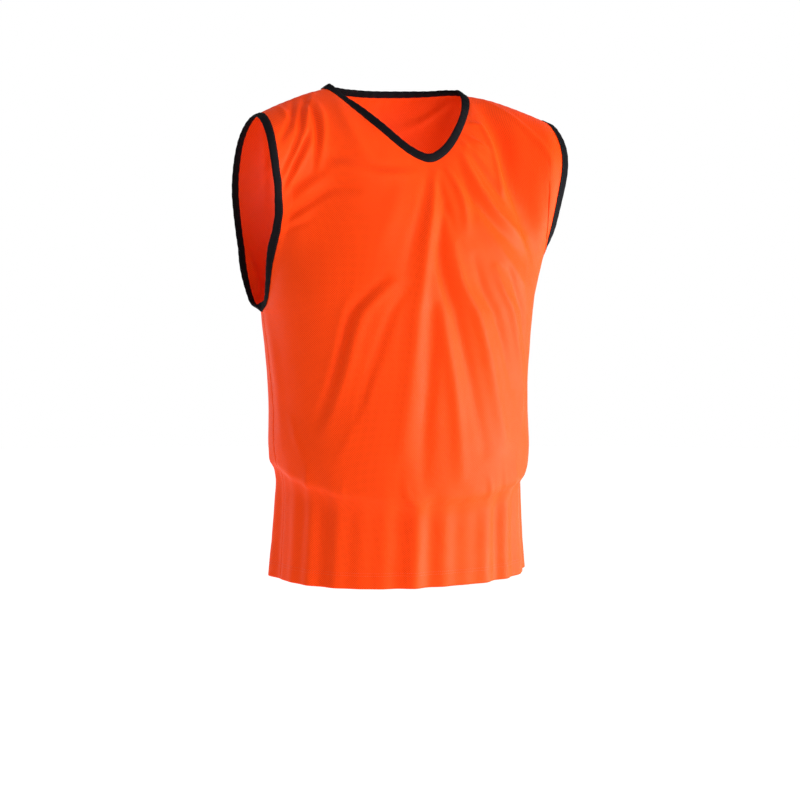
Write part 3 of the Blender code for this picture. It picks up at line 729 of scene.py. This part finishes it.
def edge_lift(flat, up):
    """The groove and the small puckers along the sewn seams and beside the bindings."""
    from_right = run_along(flat, 1)
    from_left = from_right[:, -1:] - from_right
    from_hem = run_along(flat, 0)
    from_top = from_hem[-1:] - from_hem
    below = (up <= 0.0)[:, None]
    column = np.arange(flat.shape[1])
    at_shoulder = (column <= SHOULDER_COLUMNS) | (column >= flat.shape[1] - 1 - SHOULDER_COLUMNS)
    return (
        sewn_lift(from_right, from_hem[:, :1], SIDE_DRIFT, below)
        + sewn_lift(from_left, from_hem[:, -1:], SIDE_DRIFT, below)
        + sewn_lift(from_top, from_right[-1:], SHOULDER_DRIFT, at_shoulder)
    )


def grid_normals(points, side):
    """Outward normals of a grid of points, by the differences to its neighbours."""
    normal = unit(np.cross(np.gradient(points, axis=1), np.gradient(points, axis=0)))
    return normal if side == "front" else -normal


def share_seam_normals(found):
    """Gives both panels the same normals on the side seams and on the shoulder seams."""
    front = found["front"]["normals"]
    back = found["back"]["normals"]
    below = np.s_[: ROWS_BELOW + 1]
    seams = [
        (below, 0),
        (below, -1),
        (-1, np.s_[: SHOULDER_COLUMNS + 1]),
        (-1, np.s_[-SHOULDER_COLUMNS - 1 :]),
    ]
    for seam in seams:
        mean = unit(front[seam] + back[seam])
        front[seam] = mean
        back[seam] = mean


def relaxed(flat, across, up):
    """The smooth panel with the line below the corner of neck and shoulder rounded off."""
    beside = np.exp(-(((np.abs(across) - NECK_SHARE) / CORNER_REACH) ** 2))
    within = np.clip(CORNER_FADE * (1.0 - up), 0.0, 1.0) * np.clip(CORNER_FADE * up, 0.0, 1.0)
    strength = 0.5 * (within[:, None] * beside[1:-1])[..., None]
    for _ in range(CORNER_PASSES):
        mean = 0.5 * (flat[:, 2:] + flat[:, :-2])
        flat[:, 1:-1] += strength * (mean - flat[:, 1:-1])
    return flat


@functools.lru_cache(maxsize=None)
def panels():
    """The outer points, outward normals and cloth coordinates of the two panels."""
    up = np.concatenate([np.linspace(-1, 0, ROWS_BELOW + 1), np.linspace(0, 1, ROWS_ABOVE + 1)[1:]])
    shoulder = np.linspace(NECK_SHARE, 1.0, SHOULDER_COLUMNS + 1)
    neck = np.linspace(-NECK_SHARE, NECK_SHARE, NECK_COLUMNS + 1)
    across = np.concatenate([-shoulder[::-1], neck[1:-1], shoulder])
    paths = fold_paths()
    found = {}
    for side in ("front", "back"):
        flat = relaxed(panel_point(side, across[None, :], up[:, None]), across, up)
        right = run_along(flat, 1)
        sideways = right - right[:, len(across) // 2][:, None]
        found[side] = {
            "flat": flat,
            "normals": grid_normals(flat, side),
            "uv": np.stack([sideways, run_along(flat, 0)], -1),
        }
    share_seam_normals(found)
    for side, panel in found.items():
        lift = fold_lift(panel["flat"], paths)
        lift += pleat_lift(side, across[None, :], up[:, None])
        lift += ripple_lift(panel["flat"])
        lift += edge_lift(panel["flat"], up)
        panel["points"] = panel["flat"] + lift[..., None] * panel["normals"]
    for side, panel in found.items():
        panel["normals"] = grid_normals(panel["points"], side)
    share_seam_normals(found)
    return found


def added(name, data):
    """A new object in the scene."""
    thing = bpy.data.objects.new(name, data)
    bpy.context.scene.collection.objects.link(thing)
    return thing


def finished(carrier, name):
    """The mesh that an object's modifier makes. The object and its own mesh are removed."""
    graph = bpy.context.evaluated_depsgraph_get()
    made = bpy.data.meshes.new_from_object(carrier.evaluated_get(graph))
    made.name = name
    given = carrier.data
    bpy.data.objects.remove(carrier)
    bpy.data.meshes.remove(given)
    return made


def new_piece(name, mesh, material, slot, *nodes):
    """Adds a finished mesh to the scene as a piece of the part."""
    mesh.materials.clear()
    mesh.materials.append(material)
    mesh.shade_smooth()
    piece = added(name, mesh)
    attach(piece, "root")
    if nodes:
        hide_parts(*nodes)
    return piece


def grid_mesh(name, points, uv, uv_name, wraps=False):
    """A mesh from a grid of points. It wraps where its first row follows its last one."""
    rows, width = points.shape[:2]
    faces = []
    for r in range(rows if wraps else rows - 1):
        s = (r + 1) % rows
        for c in range(width - 1):
            faces.append((r * width + c, r * width + c + 1, s * width + c + 1, s * width + c))
    mesh = bpy.data.meshes.new(name)
    mesh.from_pydata(points.reshape(-1, 3).tolist(), [], faces)
    layer = mesh.uv_layers.new(name=uv_name)
    corner = np.empty(len(mesh.loops), np.int64)
    mesh.loops.foreach_get("vertex_index", corner)
    values = uv.reshape(-1, 2)[corner]
    if wraps:
        last = len(faces) // rows * 4 * (rows - 1)
        length = uv[-1, 0, 0] + np.linalg.norm(points[0, 0] - points[-1, 0])
        tail = values[last:]
        tail[tail[:, 0] < uv[1, 0, 0] * 0.5, 0] += length
    layer.data.foreach_set("uv", values.reshape(-1).astype(np.float32))
    return mesh


def thickened(name, mesh, thickness):
    """The mesh as a closed shell, its thickness laid on the inner side."""
    shell = added(name, mesh)
    wall = shell.modifiers.new("Thickness", "SOLIDIFY")
    wall.thickness = thickness
    wall.offset = -1.0
    wall.use_even_offset = False
    wall.use_quality_normals = True
    return finished(shell, name)


HEM_LAYER = 1.35         # cloth thicknesses from the cloth's outer face to the fold's middle
HEM_ROWS = 8
HEM_FOLD = (150.0, 90.0, 30.0)    # degrees round the fold at which its rows lie
HEM_FOLD_RUN = 0.0003    # how far below the hem the fold lies in the cloth's coordinates


def with_turned_hem(panel, hem_width, cloth_thickness):
    """The panel's points and cloth coordinates with the hem turned up inside it."""
    points = panel["points"]
    normals = panel["normals"]
    run = run_along(points, 0)
    layer = HEM_LAYER * cloth_thickness
    turned = []
    turned_uv = []
    for i in range(HEM_ROWS, 0, -1):
        height = hem_width * i / HEM_ROWS
        row = interpolated(points, run, height)
        inward = interpolated(normals, run, height)
        turned.append(row - 2.0 * layer * inward)
        turned_uv.append(np.stack([panel["uv"][0, :, 0], np.full(points.shape[1], -height)], -1))
    down = unit(points[0] - points[1])
    for angle in HEM_FOLD:
        turn = np.radians(angle)
        middle = points[0] - layer * normals[0]
        turned.append(middle + layer * (np.cos(turn) * normals[0] + np.sin(turn) * down))
        turned_uv.append(panel["uv"][0] * (1.0, 0.0) - (0.0, HEM_FOLD_RUN))
    grid = np.concatenate([np.array(turned), points])
    uv = np.concatenate([np.array(turned_uv), panel["uv"]])
    return grid, uv


def interpolated(grid, run, distance):
    """A row of the grid at a distance from its first row, measured down each column."""
    found = np.empty(grid.shape[1:])
    for c in range(grid.shape[1]):
        for k in range(grid.shape[2]):
            found[c, k] = np.interp(distance, run[:, c], grid[:, c, k])
    return found


def edge_frame(edge, normals, inside):
    """Normals square to a closed edge, and directions from the cloth into the opening."""
    along = unit(np.roll(edge, -1, axis=0) - np.roll(edge, 1, axis=0))
    outward = edge - inside
    outward = unit(outward - np.sum(outward * along, axis=1, keepdims=True) * along)
    square = np.cross(along, outward)
    turned = np.sign(np.sum(square * normals, axis=1, keepdims=True))
    return square * turned, outward


def eased(vectors, passes=16):
    """A closed row of directions, each drawn toward the mean of its neighbours."""
    for _ in range(passes):
        vectors = unit(vectors + 0.5 * (np.roll(vectors, 1, axis=0) + np.roll(vectors, -1, axis=0)))
    return vectors


def neck_edge():
    """The closed neck edge: its points, normals and the nearest grid points inside the cloth."""
    part = np.s_[SHOULDER_COLUMNS : -SHOULDER_COLUMNS]
    found = []
    for panel in panels().values():
        points = panel["points"]
        inside = points[-3, part].copy()
        inside[0] = points[-1, SHOULDER_COLUMNS - 2]
        inside[-1] = points[-1, -SHOULDER_COLUMNS + 1]
        found.append((points[-1, part], panel["normals"][-1, part], inside))
    return [np.concatenate([front, back[-2:0:-1]]) for front, back in zip(*found)]


def armhole_edge(column):
    """A closed armhole edge in the same form, for the first or the last grid column."""
    inner = 2 if column == 0 else -3
    rows = np.s_[ROWS_BELOW:]
    found = []
    for panel in panels().values():
        points = panel["points"]
        inside = points[rows, inner].copy()
        inside[0] = points[ROWS_BELOW - 2, column]
        inside[-1] = points[-1, inner]
        found.append((points[rows, column], panel["normals"][rows, column], inside))
    return [np.concatenate([front, back[-2:0:-1]]) for front, back in zip(*found)]


# The folded tape's cross-section: shares of its width from the cloth's cut edge, and
# millimetres from the cloth's outer face. It starts outside and ends inside the garment.
TAPE_SECTION = table(
    "across   height_mm",
    [
        (-0.15,   0.62),
        (-0.13,   0.86),
        (-0.04,   0.94),
        (0.05,    0.72),
        (0.14,    0.98),
        (0.35,    1.14),
        (0.60,    1.16),
        (0.82,    1.02),
        (0.94,    0.60),
        (1.00,    -0.35),
        (0.94,    -1.30),
        (0.82,    -1.66),
        (0.60,    -1.78),
        (0.35,    -1.76),
        (0.14,    -1.60),
        (0.05,    -1.36),
        (-0.04,   -1.58),
        (-0.15,   -1.46),
    ],
)
TAPE_STITCH = table("across height_mm", [(0.05, 0.74)])
NECK_STAND = 26.0        # degrees by which the front of the neck tape stands off the cloth
NECK_STAND_RUN = 0.03    # depth over which the neck tape turns from lying to standing


def tape_places(edge, normals, outward, section, width):
    """The places of a cross-section's points all along an edge."""
    rows = []
    for mark in section:
        rows.append(edge + mark["across"] * width * outward + mark["height_mm"] * 0.001 * normals)
    return np.stack(rows, 1)


def tape_frame(edge, stand):
    """An edge's points, with its tape's normals and directions into the opening."""
    points, normals, inside = edge
    normals, outward = edge_frame(points, normals, inside)
    normals = eased(normals)
    outward = eased(outward)
    turn = np.radians(stand) * np.clip(-points[:, 1:2] / NECK_STAND_RUN, 0.0, 1.0)
    stood = np.cos(turn) * outward + np.sin(turn) * normals
    return points, np.cos(turn) * normals - np.sin(turn) * outward, stood


def tape_piece(name, edge, stand):
    """One ring of folded tape over a cut edge of the cloth."""
    settings = bpy.context.scene.bib_tape
    points, normals, outward = tape_frame(edge, stand)
    grid = tape_places(points, normals, outward, TAPE_SECTION, settings.width)
    along = run_along(points[:, None], 0)
    across = run_along(grid[:1], 1)
    uv = np.stack(np.broadcast_arrays(along, across), -1)
    mesh = grid_mesh(name, grid, uv, "tape_uv", wraps=True)
    outer_face = mesh.polygons[len(TAPE_SECTION) // 3]
    if outer_face.normal.dot(Vector(normals[0])) < 0.0:
        mesh.flip_normals()
    mesh = thickened(name, mesh, settings.thickness)
    piece = new_piece(name, mesh, tape_material(), "binding_tape", name)
    return piece


def set_inputs(node, inputs):
    """Links each named input of a node to a socket, or gives it a value."""
    for name, value in inputs.items():
        if isinstance(value, bpy.types.NodeSocket):
            node.id_data.links.new(value, node.inputs[name])
        else:
            node.inputs[name].default_value = value


def node_maker(tree):
    """A function that adds a node with its inputs and its settings."""

    def add(kind, inputs=None, **settings):
        node = tree.nodes.new(kind)
        for name, value in settings.items():
            setattr(node, name, value)
        set_inputs(node, inputs or {})
        return node

    return add


def fresh_material(name):
    """A material with its shader and its node-adding function."""
    material = bpy.data.materials.new(name)
    material.use_nodes = True
    shader = material.node_tree.nodes["Principled BSDF"]
    return material, shader, node_maker(material.node_tree)


def shade_of(colour, share):
    """A colour made darker or paler, still opaque."""
    return tuple(share * c for c in colour[:3]) + (1.0,)


@functools.lru_cache(maxsize=None)
def mesh_cloth_material():
    """Satin knitted mesh with rows of fine holes, in the cloth's own coordinates."""
    settings = bpy.context.scene.bib_cloth
    material, shader, add = fresh_material("Orange knitted mesh")
    cloth = add("ShaderNodeUVMap", uv_map="cloth_uv").outputs["UV"]
    fine = 1.0 / settings.hole_pitch
    turned = add(
        "ShaderNodeMapping",
        {"Vector": cloth, "Rotation": (0.0, 0.0, np.radians(45.0)), "Scale": (fine, fine, fine)},
    ).outputs["Vector"]
    lattice = add(
        "ShaderNodeTexVoronoi",
        {"Vector": turned, "Scale": 1.0, "Randomness": 0.10},
        voronoi_dimensions="2D",
        feature="F1",
    ).outputs["Distance"]
    hole = add(
        "ShaderNodeMapRange",
        {"Value": lattice, "From Min": 0.20, "From Max": 0.38, "To Min": 1.0, "To Max": 0.0},
        interpolation_type="SMOOTHSTEP",
    ).outputs["Result"]
    loops = add(
        "ShaderNodeTexWave",
        {"Vector": cloth, "Scale": 460.0, "Distortion": 0.6, "Detail": 1.0, "Detail Scale": 2.0},
        bands_direction="X",
    ).outputs["Fac"]
    place = add("ShaderNodeTexCoord").outputs["Object"]
    cloud = add(
        "ShaderNodeTexNoise",
        {"Vector": place, "Scale": 17.0, "Detail": 3.0, "Roughness": 0.55},
    ).outputs["Fac"]
    patch = add(
        "ShaderNodeMapRange",
        {"Value": cloud, "From Min": 0.35, "From Max": 0.70, "To Min": 0.0, "To Max": 0.35},
    ).outputs["Result"]
    yarn = add(
        "ShaderNodeMix",
        {"Factor": patch, "A": tuple(settings.colour), "B": shade_of(settings.colour, 0.86)},
        data_type="RGBA",
    ).outputs["Result"]
    # Painted shade: the hole pattern darkens the yarn's colour towards the hole shade colour.
    hole_shade_share = add("ShaderNodeMath", {0: hole, 1: 0.70}, operation="MULTIPLY").outputs["Value"]
    colour = add(
        "ShaderNodeMix",
        {"Factor": hole_shade_share, "A": yarn, "B": tuple(settings.hole_shade_colour)},
        data_type="RGBA",
    ).outputs["Result"]
    rough = add(
        "ShaderNodeMapRange",
        {"Value": cloud, "From Min": 0.3, "From Max": 0.7, "To Min": 0.42, "To Max": 0.52},
    ).outputs["Result"]
    knit = add(
        "ShaderNodeBump",
        {"Height": loops, "Strength": 0.35, "Distance": 0.00012},
    ).outputs["Normal"]
    sunk = add(
        "ShaderNodeBump",
        {"Height": hole, "Strength": 0.55, "Distance": 0.0003, "Normal": knit},
        invert=True,
    ).outputs["Normal"]
    look = {
        "Base Color": colour,
        "Roughness": rough,
        "Normal": sunk,
        "Specular IOR Level": 0.055,
        "Sheen Weight": 0.02,
        "Sheen Roughness": 0.35,
        "Sheen Tint": (1.0, 0.50, 0.25, 1.0),
    }
    set_inputs(shader, look)
    return material


@functools.lru_cache(maxsize=None)
def tape_material():
    """Matt knitted tape with fine ribs across it."""
    settings = bpy.context.scene.bib_tape
    material, shader, add = fresh_material("Black knitted tape")
    tape = add("ShaderNodeUVMap", uv_map="tape_uv").outputs["UV"]
    ribs = add(
        "ShaderNodeTexWave",
        {"Vector": tape, "Scale": np.pi / 10 / settings.rib_pitch, "Distortion": 0.8, "Detail": 1.0},
        bands_direction="X",
    ).outputs["Fac"]
    fuzz = add(
        "ShaderNodeTexNoise",
        {"Vector": tape, "Scale": 1500.0, "Detail": 3.0},
    ).outputs["Fac"]
    rib_fuzz = add("ShaderNodeMath", {0: ribs, 1: fuzz}, operation="MULTIPLY").outputs["Value"]
    # The tape is paler where the ribs and the fuzz noise are both high.
    colour = add(
        "ShaderNodeMix",
        {"Factor": rib_fuzz, "A": tuple(settings.colour), "B": shade_of(settings.colour, 2.1)},
        data_type="RGBA",
    ).outputs["Result"]
    rough = add(
        "ShaderNodeMapRange",
        {"Value": fuzz, "To Min": 0.72, "To Max": 0.92},
    ).outputs["Result"]
    bump = add(
        "ShaderNodeBump",
        {"Height": ribs, "Strength": 0.6, "Distance": 0.0002},
    ).outputs["Normal"]
    look = {"Base Color": colour, "Roughness": rough, "Normal": bump, "Specular IOR Level": 0.06}
    set_inputs(shader, look)
    return material


@functools.lru_cache(maxsize=None)
def thread_material(name, colour, roughness):
    """Twisted sewing thread."""
    material, shader, add = fresh_material(name)
    place = add("ShaderNodeTexCoord").outputs["Object"]
    twist = add(
        "ShaderNodeTexNoise",
        {"Vector": place, "Scale": 2400.0, "Detail": 2.0},
    ).outputs["Fac"]
    mixed = add(
        "ShaderNodeMix",
        {"Factor": twist, "A": shade_of(colour, 0.6), "B": colour},
        data_type="RGBA",
    ).outputs["Result"]
    bump = add(
        "ShaderNodeBump",
        {"Height": twist, "Strength": 0.4, "Distance": 0.0001},
    ).outputs["Normal"]
    look = {"Base Color": mixed, "Roughness": roughness, "Normal": bump, "Sheen Weight": 0.05}
    set_inputs(shader, look)
    return material


@functools.lru_cache(maxsize=None)
def stitch_tree():
    """Geometry nodes that lay one small stitch after another along an edge line."""
    tree = bpy.data.node_groups.new("Stitches along a line", "GeometryNodeTree")
    inputs = (
        ("Line", "NodeSocketGeometry", None),
        ("Stitch length", "NodeSocketFloat", 0.0021),
        ("Pitch", "NodeSocketFloat", 0.0027),
        ("Thread thickness", "NodeSocketFloat", 0.00036),
        ("Unevenness", "NodeSocketFloat", 0.12),
        ("Seed", "NodeSocketInt", 11),
        ("Thread", "NodeSocketMaterial", None),
    )
    for name, kind, value in inputs:
        socket = tree.interface.new_socket(name, in_out="INPUT", socket_type=kind)
        if value is not None:
            socket.default_value = value
    tree.interface.new_socket("Stitches", in_out="OUTPUT", socket_type="NodeSocketGeometry")
    add = node_maker(tree)
    given = add("NodeGroupInput").outputs
    curve = add("GeometryNodeMeshToCurve", {"Mesh": given["Line"]}).outputs["Curve"]
    even = add(
        "GeometryNodeResampleCurve",
        {"Curve": curve, "Length": given["Pitch"]},
        mode="LENGTH",
    ).outputs["Curve"]
    size = add(
        "ShaderNodeCombineXYZ",
        {"X": given["Stitch length"], "Y": given["Thread thickness"], "Z": given["Thread thickness"]},
    ).outputs["Vector"]
    ball = add("GeometryNodeMeshUVSphere", {"Segments": 8, "Rings": 5, "Radius": 0.5})
    stitch = add(
        "GeometryNodeTransform",
        {"Geometry": ball.outputs["Mesh"], "Scale": size},
    ).outputs["Geometry"]
    tangent = add("GeometryNodeInputTangent").outputs["Tangent"]
    up = add("GeometryNodeInputNamedAttribute", {"Name": "outward"}, data_type="FLOAT_VECTOR")
    along = add(
        "FunctionNodeAlignRotationToVector",
        {"Vector": tangent},
        axis="X",
    ).outputs["Rotation"]
    level = add(
        "FunctionNodeAlignRotationToVector",
        {"Rotation": along, "Vector": up.outputs["Attribute"]},
        axis="Z",
        pivot_axis="X",
    ).outputs["Rotation"]
    least = add("ShaderNodeMath", {0: 1.0, 1: given["Unevenness"]}, operation="SUBTRACT")
    uneven = add(
        "FunctionNodeRandomValue",
        {"Min": least.outputs["Value"], "Max": 1.0, "Seed": given["Seed"]},
        data_type="FLOAT",
    ).outputs["Value"]
    laid = add(
        "GeometryNodeInstanceOnPoints",
        {"Points": even, "Instance": stitch, "Rotation": level, "Scale": uneven},
    )
    real = add("GeometryNodeRealizeInstances", {"Geometry": laid.outputs["Instances"]})
    sewn = add(
        "GeometryNodeSetMaterial",
        {"Geometry": real.outputs["Geometry"], "Material": given["Thread"]},
    )
    add("NodeGroupOutput", {"Stitches": sewn.outputs["Geometry"]})
    return tree


def stitched(name, lines, material, slot):
    """A piece of stitches along closed lines, each given as points and outward directions."""
    settings = bpy.context.scene.bib_sewing
    points = []
    outward = []
    edges = []
    for line, directions in lines:
        first = len(points)
        count = len(line)
        points.extend(line.tolist())
        outward.extend(directions.tolist())
        edges.extend((first + i, first + (i + 1) % count) for i in range(count))
    mesh = bpy.data.meshes.new(name)
    mesh.from_pydata(points, edges, [])
    attribute = mesh.attributes.new("outward", "FLOAT_VECTOR", "POINT")
    attribute.data.foreach_set("vector", np.array(outward, np.float32).reshape(-1))
    guide = added(name + "_line", mesh)
    modifier = guide.modifiers.new("Stitches", "NODES")
    modifier.node_group = stitch_tree()
    wanted = {
        "Stitch length": settings.stitch,
        "Pitch": settings.pitch,
        "Thread thickness": settings.thread,
        "Seed": settings.seed,
        "Thread": material,
    }
    for item in modifier.node_group.interface.items_tree:
        if item.item_type == "SOCKET" and item.in_out == "INPUT" and item.name in wanted:
            modifier[item.identifier] = wanted[item.name]
    made = finished(guide, name)
    if not made.polygons:
        raise RuntimeError(f"no stitches were made for {name}")
    return new_piece(name, made, material, slot)


def hem_line(distance, proud):
    """The closed line at a distance above the hem, round both panels."""
    found = []
    for panel in panels().values():
        run = run_along(panel["points"], 0)
        place = interpolated(panel["points"], run, distance)
        out = unit(interpolated(panel["normals"], run, distance))
        found.append((place + proud * out, out))
    front, back = found
    return [np.concatenate([a, b[-2:0:-1]]) for a, b in zip(front, back)]


HEM_STITCH_INSET = 0.0018
NEEDLE_GAP = 0.0032
THREAD_PROUD = 0.3       # part of the thread's thickness by which it stands off the cloth
BLACK_THREAD = (0.010, 0.009, 0.012, 1.0)


def panel_piece(side):
    """One panel of mesh cloth as a thin shell with its hem turned up inside."""
    settings = bpy.context.scene.bib_cloth
    name = f"{side}_panel"
    panel = panels()[side]
    points, uv = with_turned_hem(panel, settings.hem_width, settings.thickness)
    mesh = grid_mesh(name, points, uv, "cloth_uv")
    if side == "back":
        mesh.flip_normals()
    mesh = thickened(name, mesh, settings.thickness)
    piece = new_piece(name, mesh, mesh_cloth_material(), "mesh_cloth", name)
    return piece


class BIB_OT_front_panel(bpy.types.Operator):
    """Make the front panel of mesh cloth"""

    bl_idname = "bib.front_panel"
    bl_label = "Front panel"

    def execute(self, context):
        panel_piece("front")
        return {"FINISHED"}


class BIB_OT_back_panel(bpy.types.Operator):
    """Make the back panel of mesh cloth"""

    bl_idname = "bib.back_panel"
    bl_label = "Back panel"

    def execute(self, context):
        panel_piece("back")
        return {"FINISHED"}


class BIB_OT_neck_binding(bpy.types.Operator):
    """Make the folded tape round the neck"""

    bl_idname = "bib.neck_binding"
    bl_label = "Neck binding"

    def execute(self, context):
        tape_piece("neck_binding", neck_edge(), NECK_STAND)
        return {"FINISHED"}


class BIB_OT_armhole_bindings(bpy.types.Operator):
    """Make the folded tape round the two armholes"""

    bl_idname = "bib.armhole_bindings"
    bl_label = "Armhole bindings"

    def execute(self, context):
        tape_piece("armhole_binding_right", armhole_edge(0), 0.0)
        tape_piece("armhole_binding_left", armhole_edge(-1), 0.0)
        return {"FINISHED"}


class BIB_OT_stitching(bpy.types.Operator):
    """Sew the hem and the bindings"""

    bl_idname = "bib.stitching"
    bl_label = "Stitching"

    def execute(self, context):
        cloth = context.scene.bib_cloth
        sewing = context.scene.bib_sewing
        tape = context.scene.bib_tape
        orange = thread_material("Orange thread", tuple(cloth.colour), 0.5)
        black = thread_material("Black thread", BLACK_THREAD, 0.7)
        lines = []
        for row in range(2):
            distance = cloth.hem_width - HEM_STITCH_INSET - row * NEEDLE_GAP
            lines.append(hem_line(distance, THREAD_PROUD * sewing.thread))
        stitched("hem_stitches", lines, orange, "mesh_cloth")
        lines = []
        rings = ((neck_edge(), NECK_STAND), (armhole_edge(0), 0.0), (armhole_edge(-1), 0.0))
        for edge, stand in rings:
            points, normals, outward = tape_frame(edge, stand)
            place = tape_places(points, normals, outward, TAPE_STITCH, tape.width)[:, 0]
            lines.append((place, normals))
        stitched("binding_stitches", lines, black, "binding_tape")
        return {"FINISHED"}


CAMERA_PLACE = (-1.502, -2.825, -0.200)
CAMERA_TARGET = (0.0, 0.0, -0.369)
CAMERA_LENS_MM = 116.8
CAMERA_SENSOR_MM = 36.0
CAMERA_CLIP_END = 60.0
LIGHT_TARGET = (0.0, 0.0, -0.28)
FLOOR_RADIUS = 14.0
WHITE = (1.0, 1.0, 1.0, 1.0)

# Soft lights: where they stand, how wide and high they are, and the setting of their power.
LIGHTS = table(
    "name        x      y      z      width  height  power",
    [
        ("side",     1.80,  -0.70, -0.60, 0.8,   0.8,   "key_power"),
        ("front",    1.75,  -2.55, 0.05,  1.2,   1.2,   "front_power"),
        ("top",      -0.40, -1.00, 2.40,  1.8,   1.8,   "top_power"),
        ("rear",     -1.30, 2.70,  0.20,  1.0,   1.0,   "fill_power"),
    ],
)


def aimed(thing, place, target):
    """Puts a camera or a light in place, looking at the target."""
    thing.location = place
    thing.rotation_euler = (Vector(target) - Vector(place)).to_track_quat("-Z", "Y").to_euler()


class BIB_OT_stage(bpy.types.Operator):
    """Make the floor, the lights, the room and the camera"""

    bl_idname = "bib.stage"
    bl_label = "Stage"

    def execute(self, context):
        scene = context.scene
        settings = scene.bib_stage
        self.floor(settings.floor_height)
        scene.world = self.room(settings.room)
        for row in LIGHTS:
            data = bpy.data.lights.new(row["name"], "AREA")
            data.shape = "RECTANGLE"
            data.size = row["width"]
            data.size_y = row["height"]
            data.energy = getattr(settings, row["power"])
            aimed(added(row["name"], data), (row["x"], row["y"], row["z"]), LIGHT_TARGET)
        data = bpy.data.cameras.new("camera")
        data.lens = CAMERA_LENS_MM
        data.sensor_width = CAMERA_SENSOR_MM
        data.clip_end = CAMERA_CLIP_END
        camera = added("camera", data)
        aimed(camera, CAMERA_PLACE, CAMERA_TARGET)
        scene.camera = camera
        scene.view_settings.view_transform = "Standard"
        return {"FINISHED"}

    def floor(self, height):
        """A plain pale floor."""
        work = bmesh.new()
        bmesh.ops.create_circle(work, cap_ends=True, segments=64, radius=FLOOR_RADIUS)
        bmesh.ops.translate(work, verts=work.verts, vec=(0.0, 0.0, height))
        mesh = bpy.data.meshes.new("floor")
        work.to_mesh(mesh)
        work.free()
        material, shader = fresh_material("Pale floor")[:2]
        look = {
            "Base Color": shade_of(WHITE, 0.86),
            "Roughness": 0.9,
            "Emission Color": WHITE,
            "Emission Strength": 0.6,
        }
        set_inputs(shader, look)
        mesh.materials.append(material)
        floor = added("floor", mesh)

    def room(self, strength):
        """An even white room: white where it is looked at, dimmer as a light."""
        world = bpy.data.worlds.new("White room")
        world.use_nodes = True
        tree = world.node_tree
        tree.nodes.clear()
        add = node_maker(tree)
        looked_at = add("ShaderNodeLightPath").outputs["Is Camera Ray"]
        lit = add("ShaderNodeBackground", {"Color": WHITE, "Strength": strength})
        seen = add("ShaderNodeBackground", {"Color": WHITE, "Strength": 1.0})
        mixed = add(
            "ShaderNodeMixShader",
            {0: looked_at, 1: lit.outputs["Background"], 2: seen.outputs["Background"]},
        )
        add("ShaderNodeOutputWorld", {"Surface": mixed.outputs["Shader"]})
        return world


class BIB_PT_sidebar(bpy.types.Panel):
    """The bib's pieces and sizes"""

    bl_label = "Training bib"
    bl_idname = "BIB_PT_sidebar"
    bl_space_type = "VIEW_3D"
    bl_region_type = "UI"
    bl_category = "Training bib"

    def draw(self, context):
        for group in GROUPS:
            settings = getattr(context.scene, group)
            box = self.layout.box()
            for name in settings.bl_rna.properties.keys():
                if name not in ("rna_type", "name"):
                    box.prop(settings, name)
        for operator in PIECES:
            self.layout.operator(operator.bl_idname)


GROUPS = {
    "bib_cloth": ClothSettings,
    "bib_tape": TapeSettings,
    "bib_sewing": SewingSettings,
    "bib_stage": StageSettings,
}
PIECES = (
    BIB_OT_front_panel,
    BIB_OT_back_panel,
    BIB_OT_neck_binding,
    BIB_OT_armhole_bindings,
    BIB_OT_stitching,
    BIB_OT_stage,
)
CLASSES = (*GROUPS.values(), *PIECES, BIB_PT_sidebar)


def register():
    for kind in CLASSES:
        bpy.utils.register_class(kind)
    for name, kind in GROUPS.items():
        setattr(bpy.types.Scene, name, PointerProperty(type=kind))


def unregister():
    for name in GROUPS:
        delattr(bpy.types.Scene, name)
    for kind in reversed(CLASSES):
        bpy.utils.unregister_class(kind)


def main():
    register()
    for operator in PIECES:
        group, name = operator.bl_idname.split(".")
        getattr(getattr(bpy.ops, group), name)()


if __name__ == "__main__":
    main()
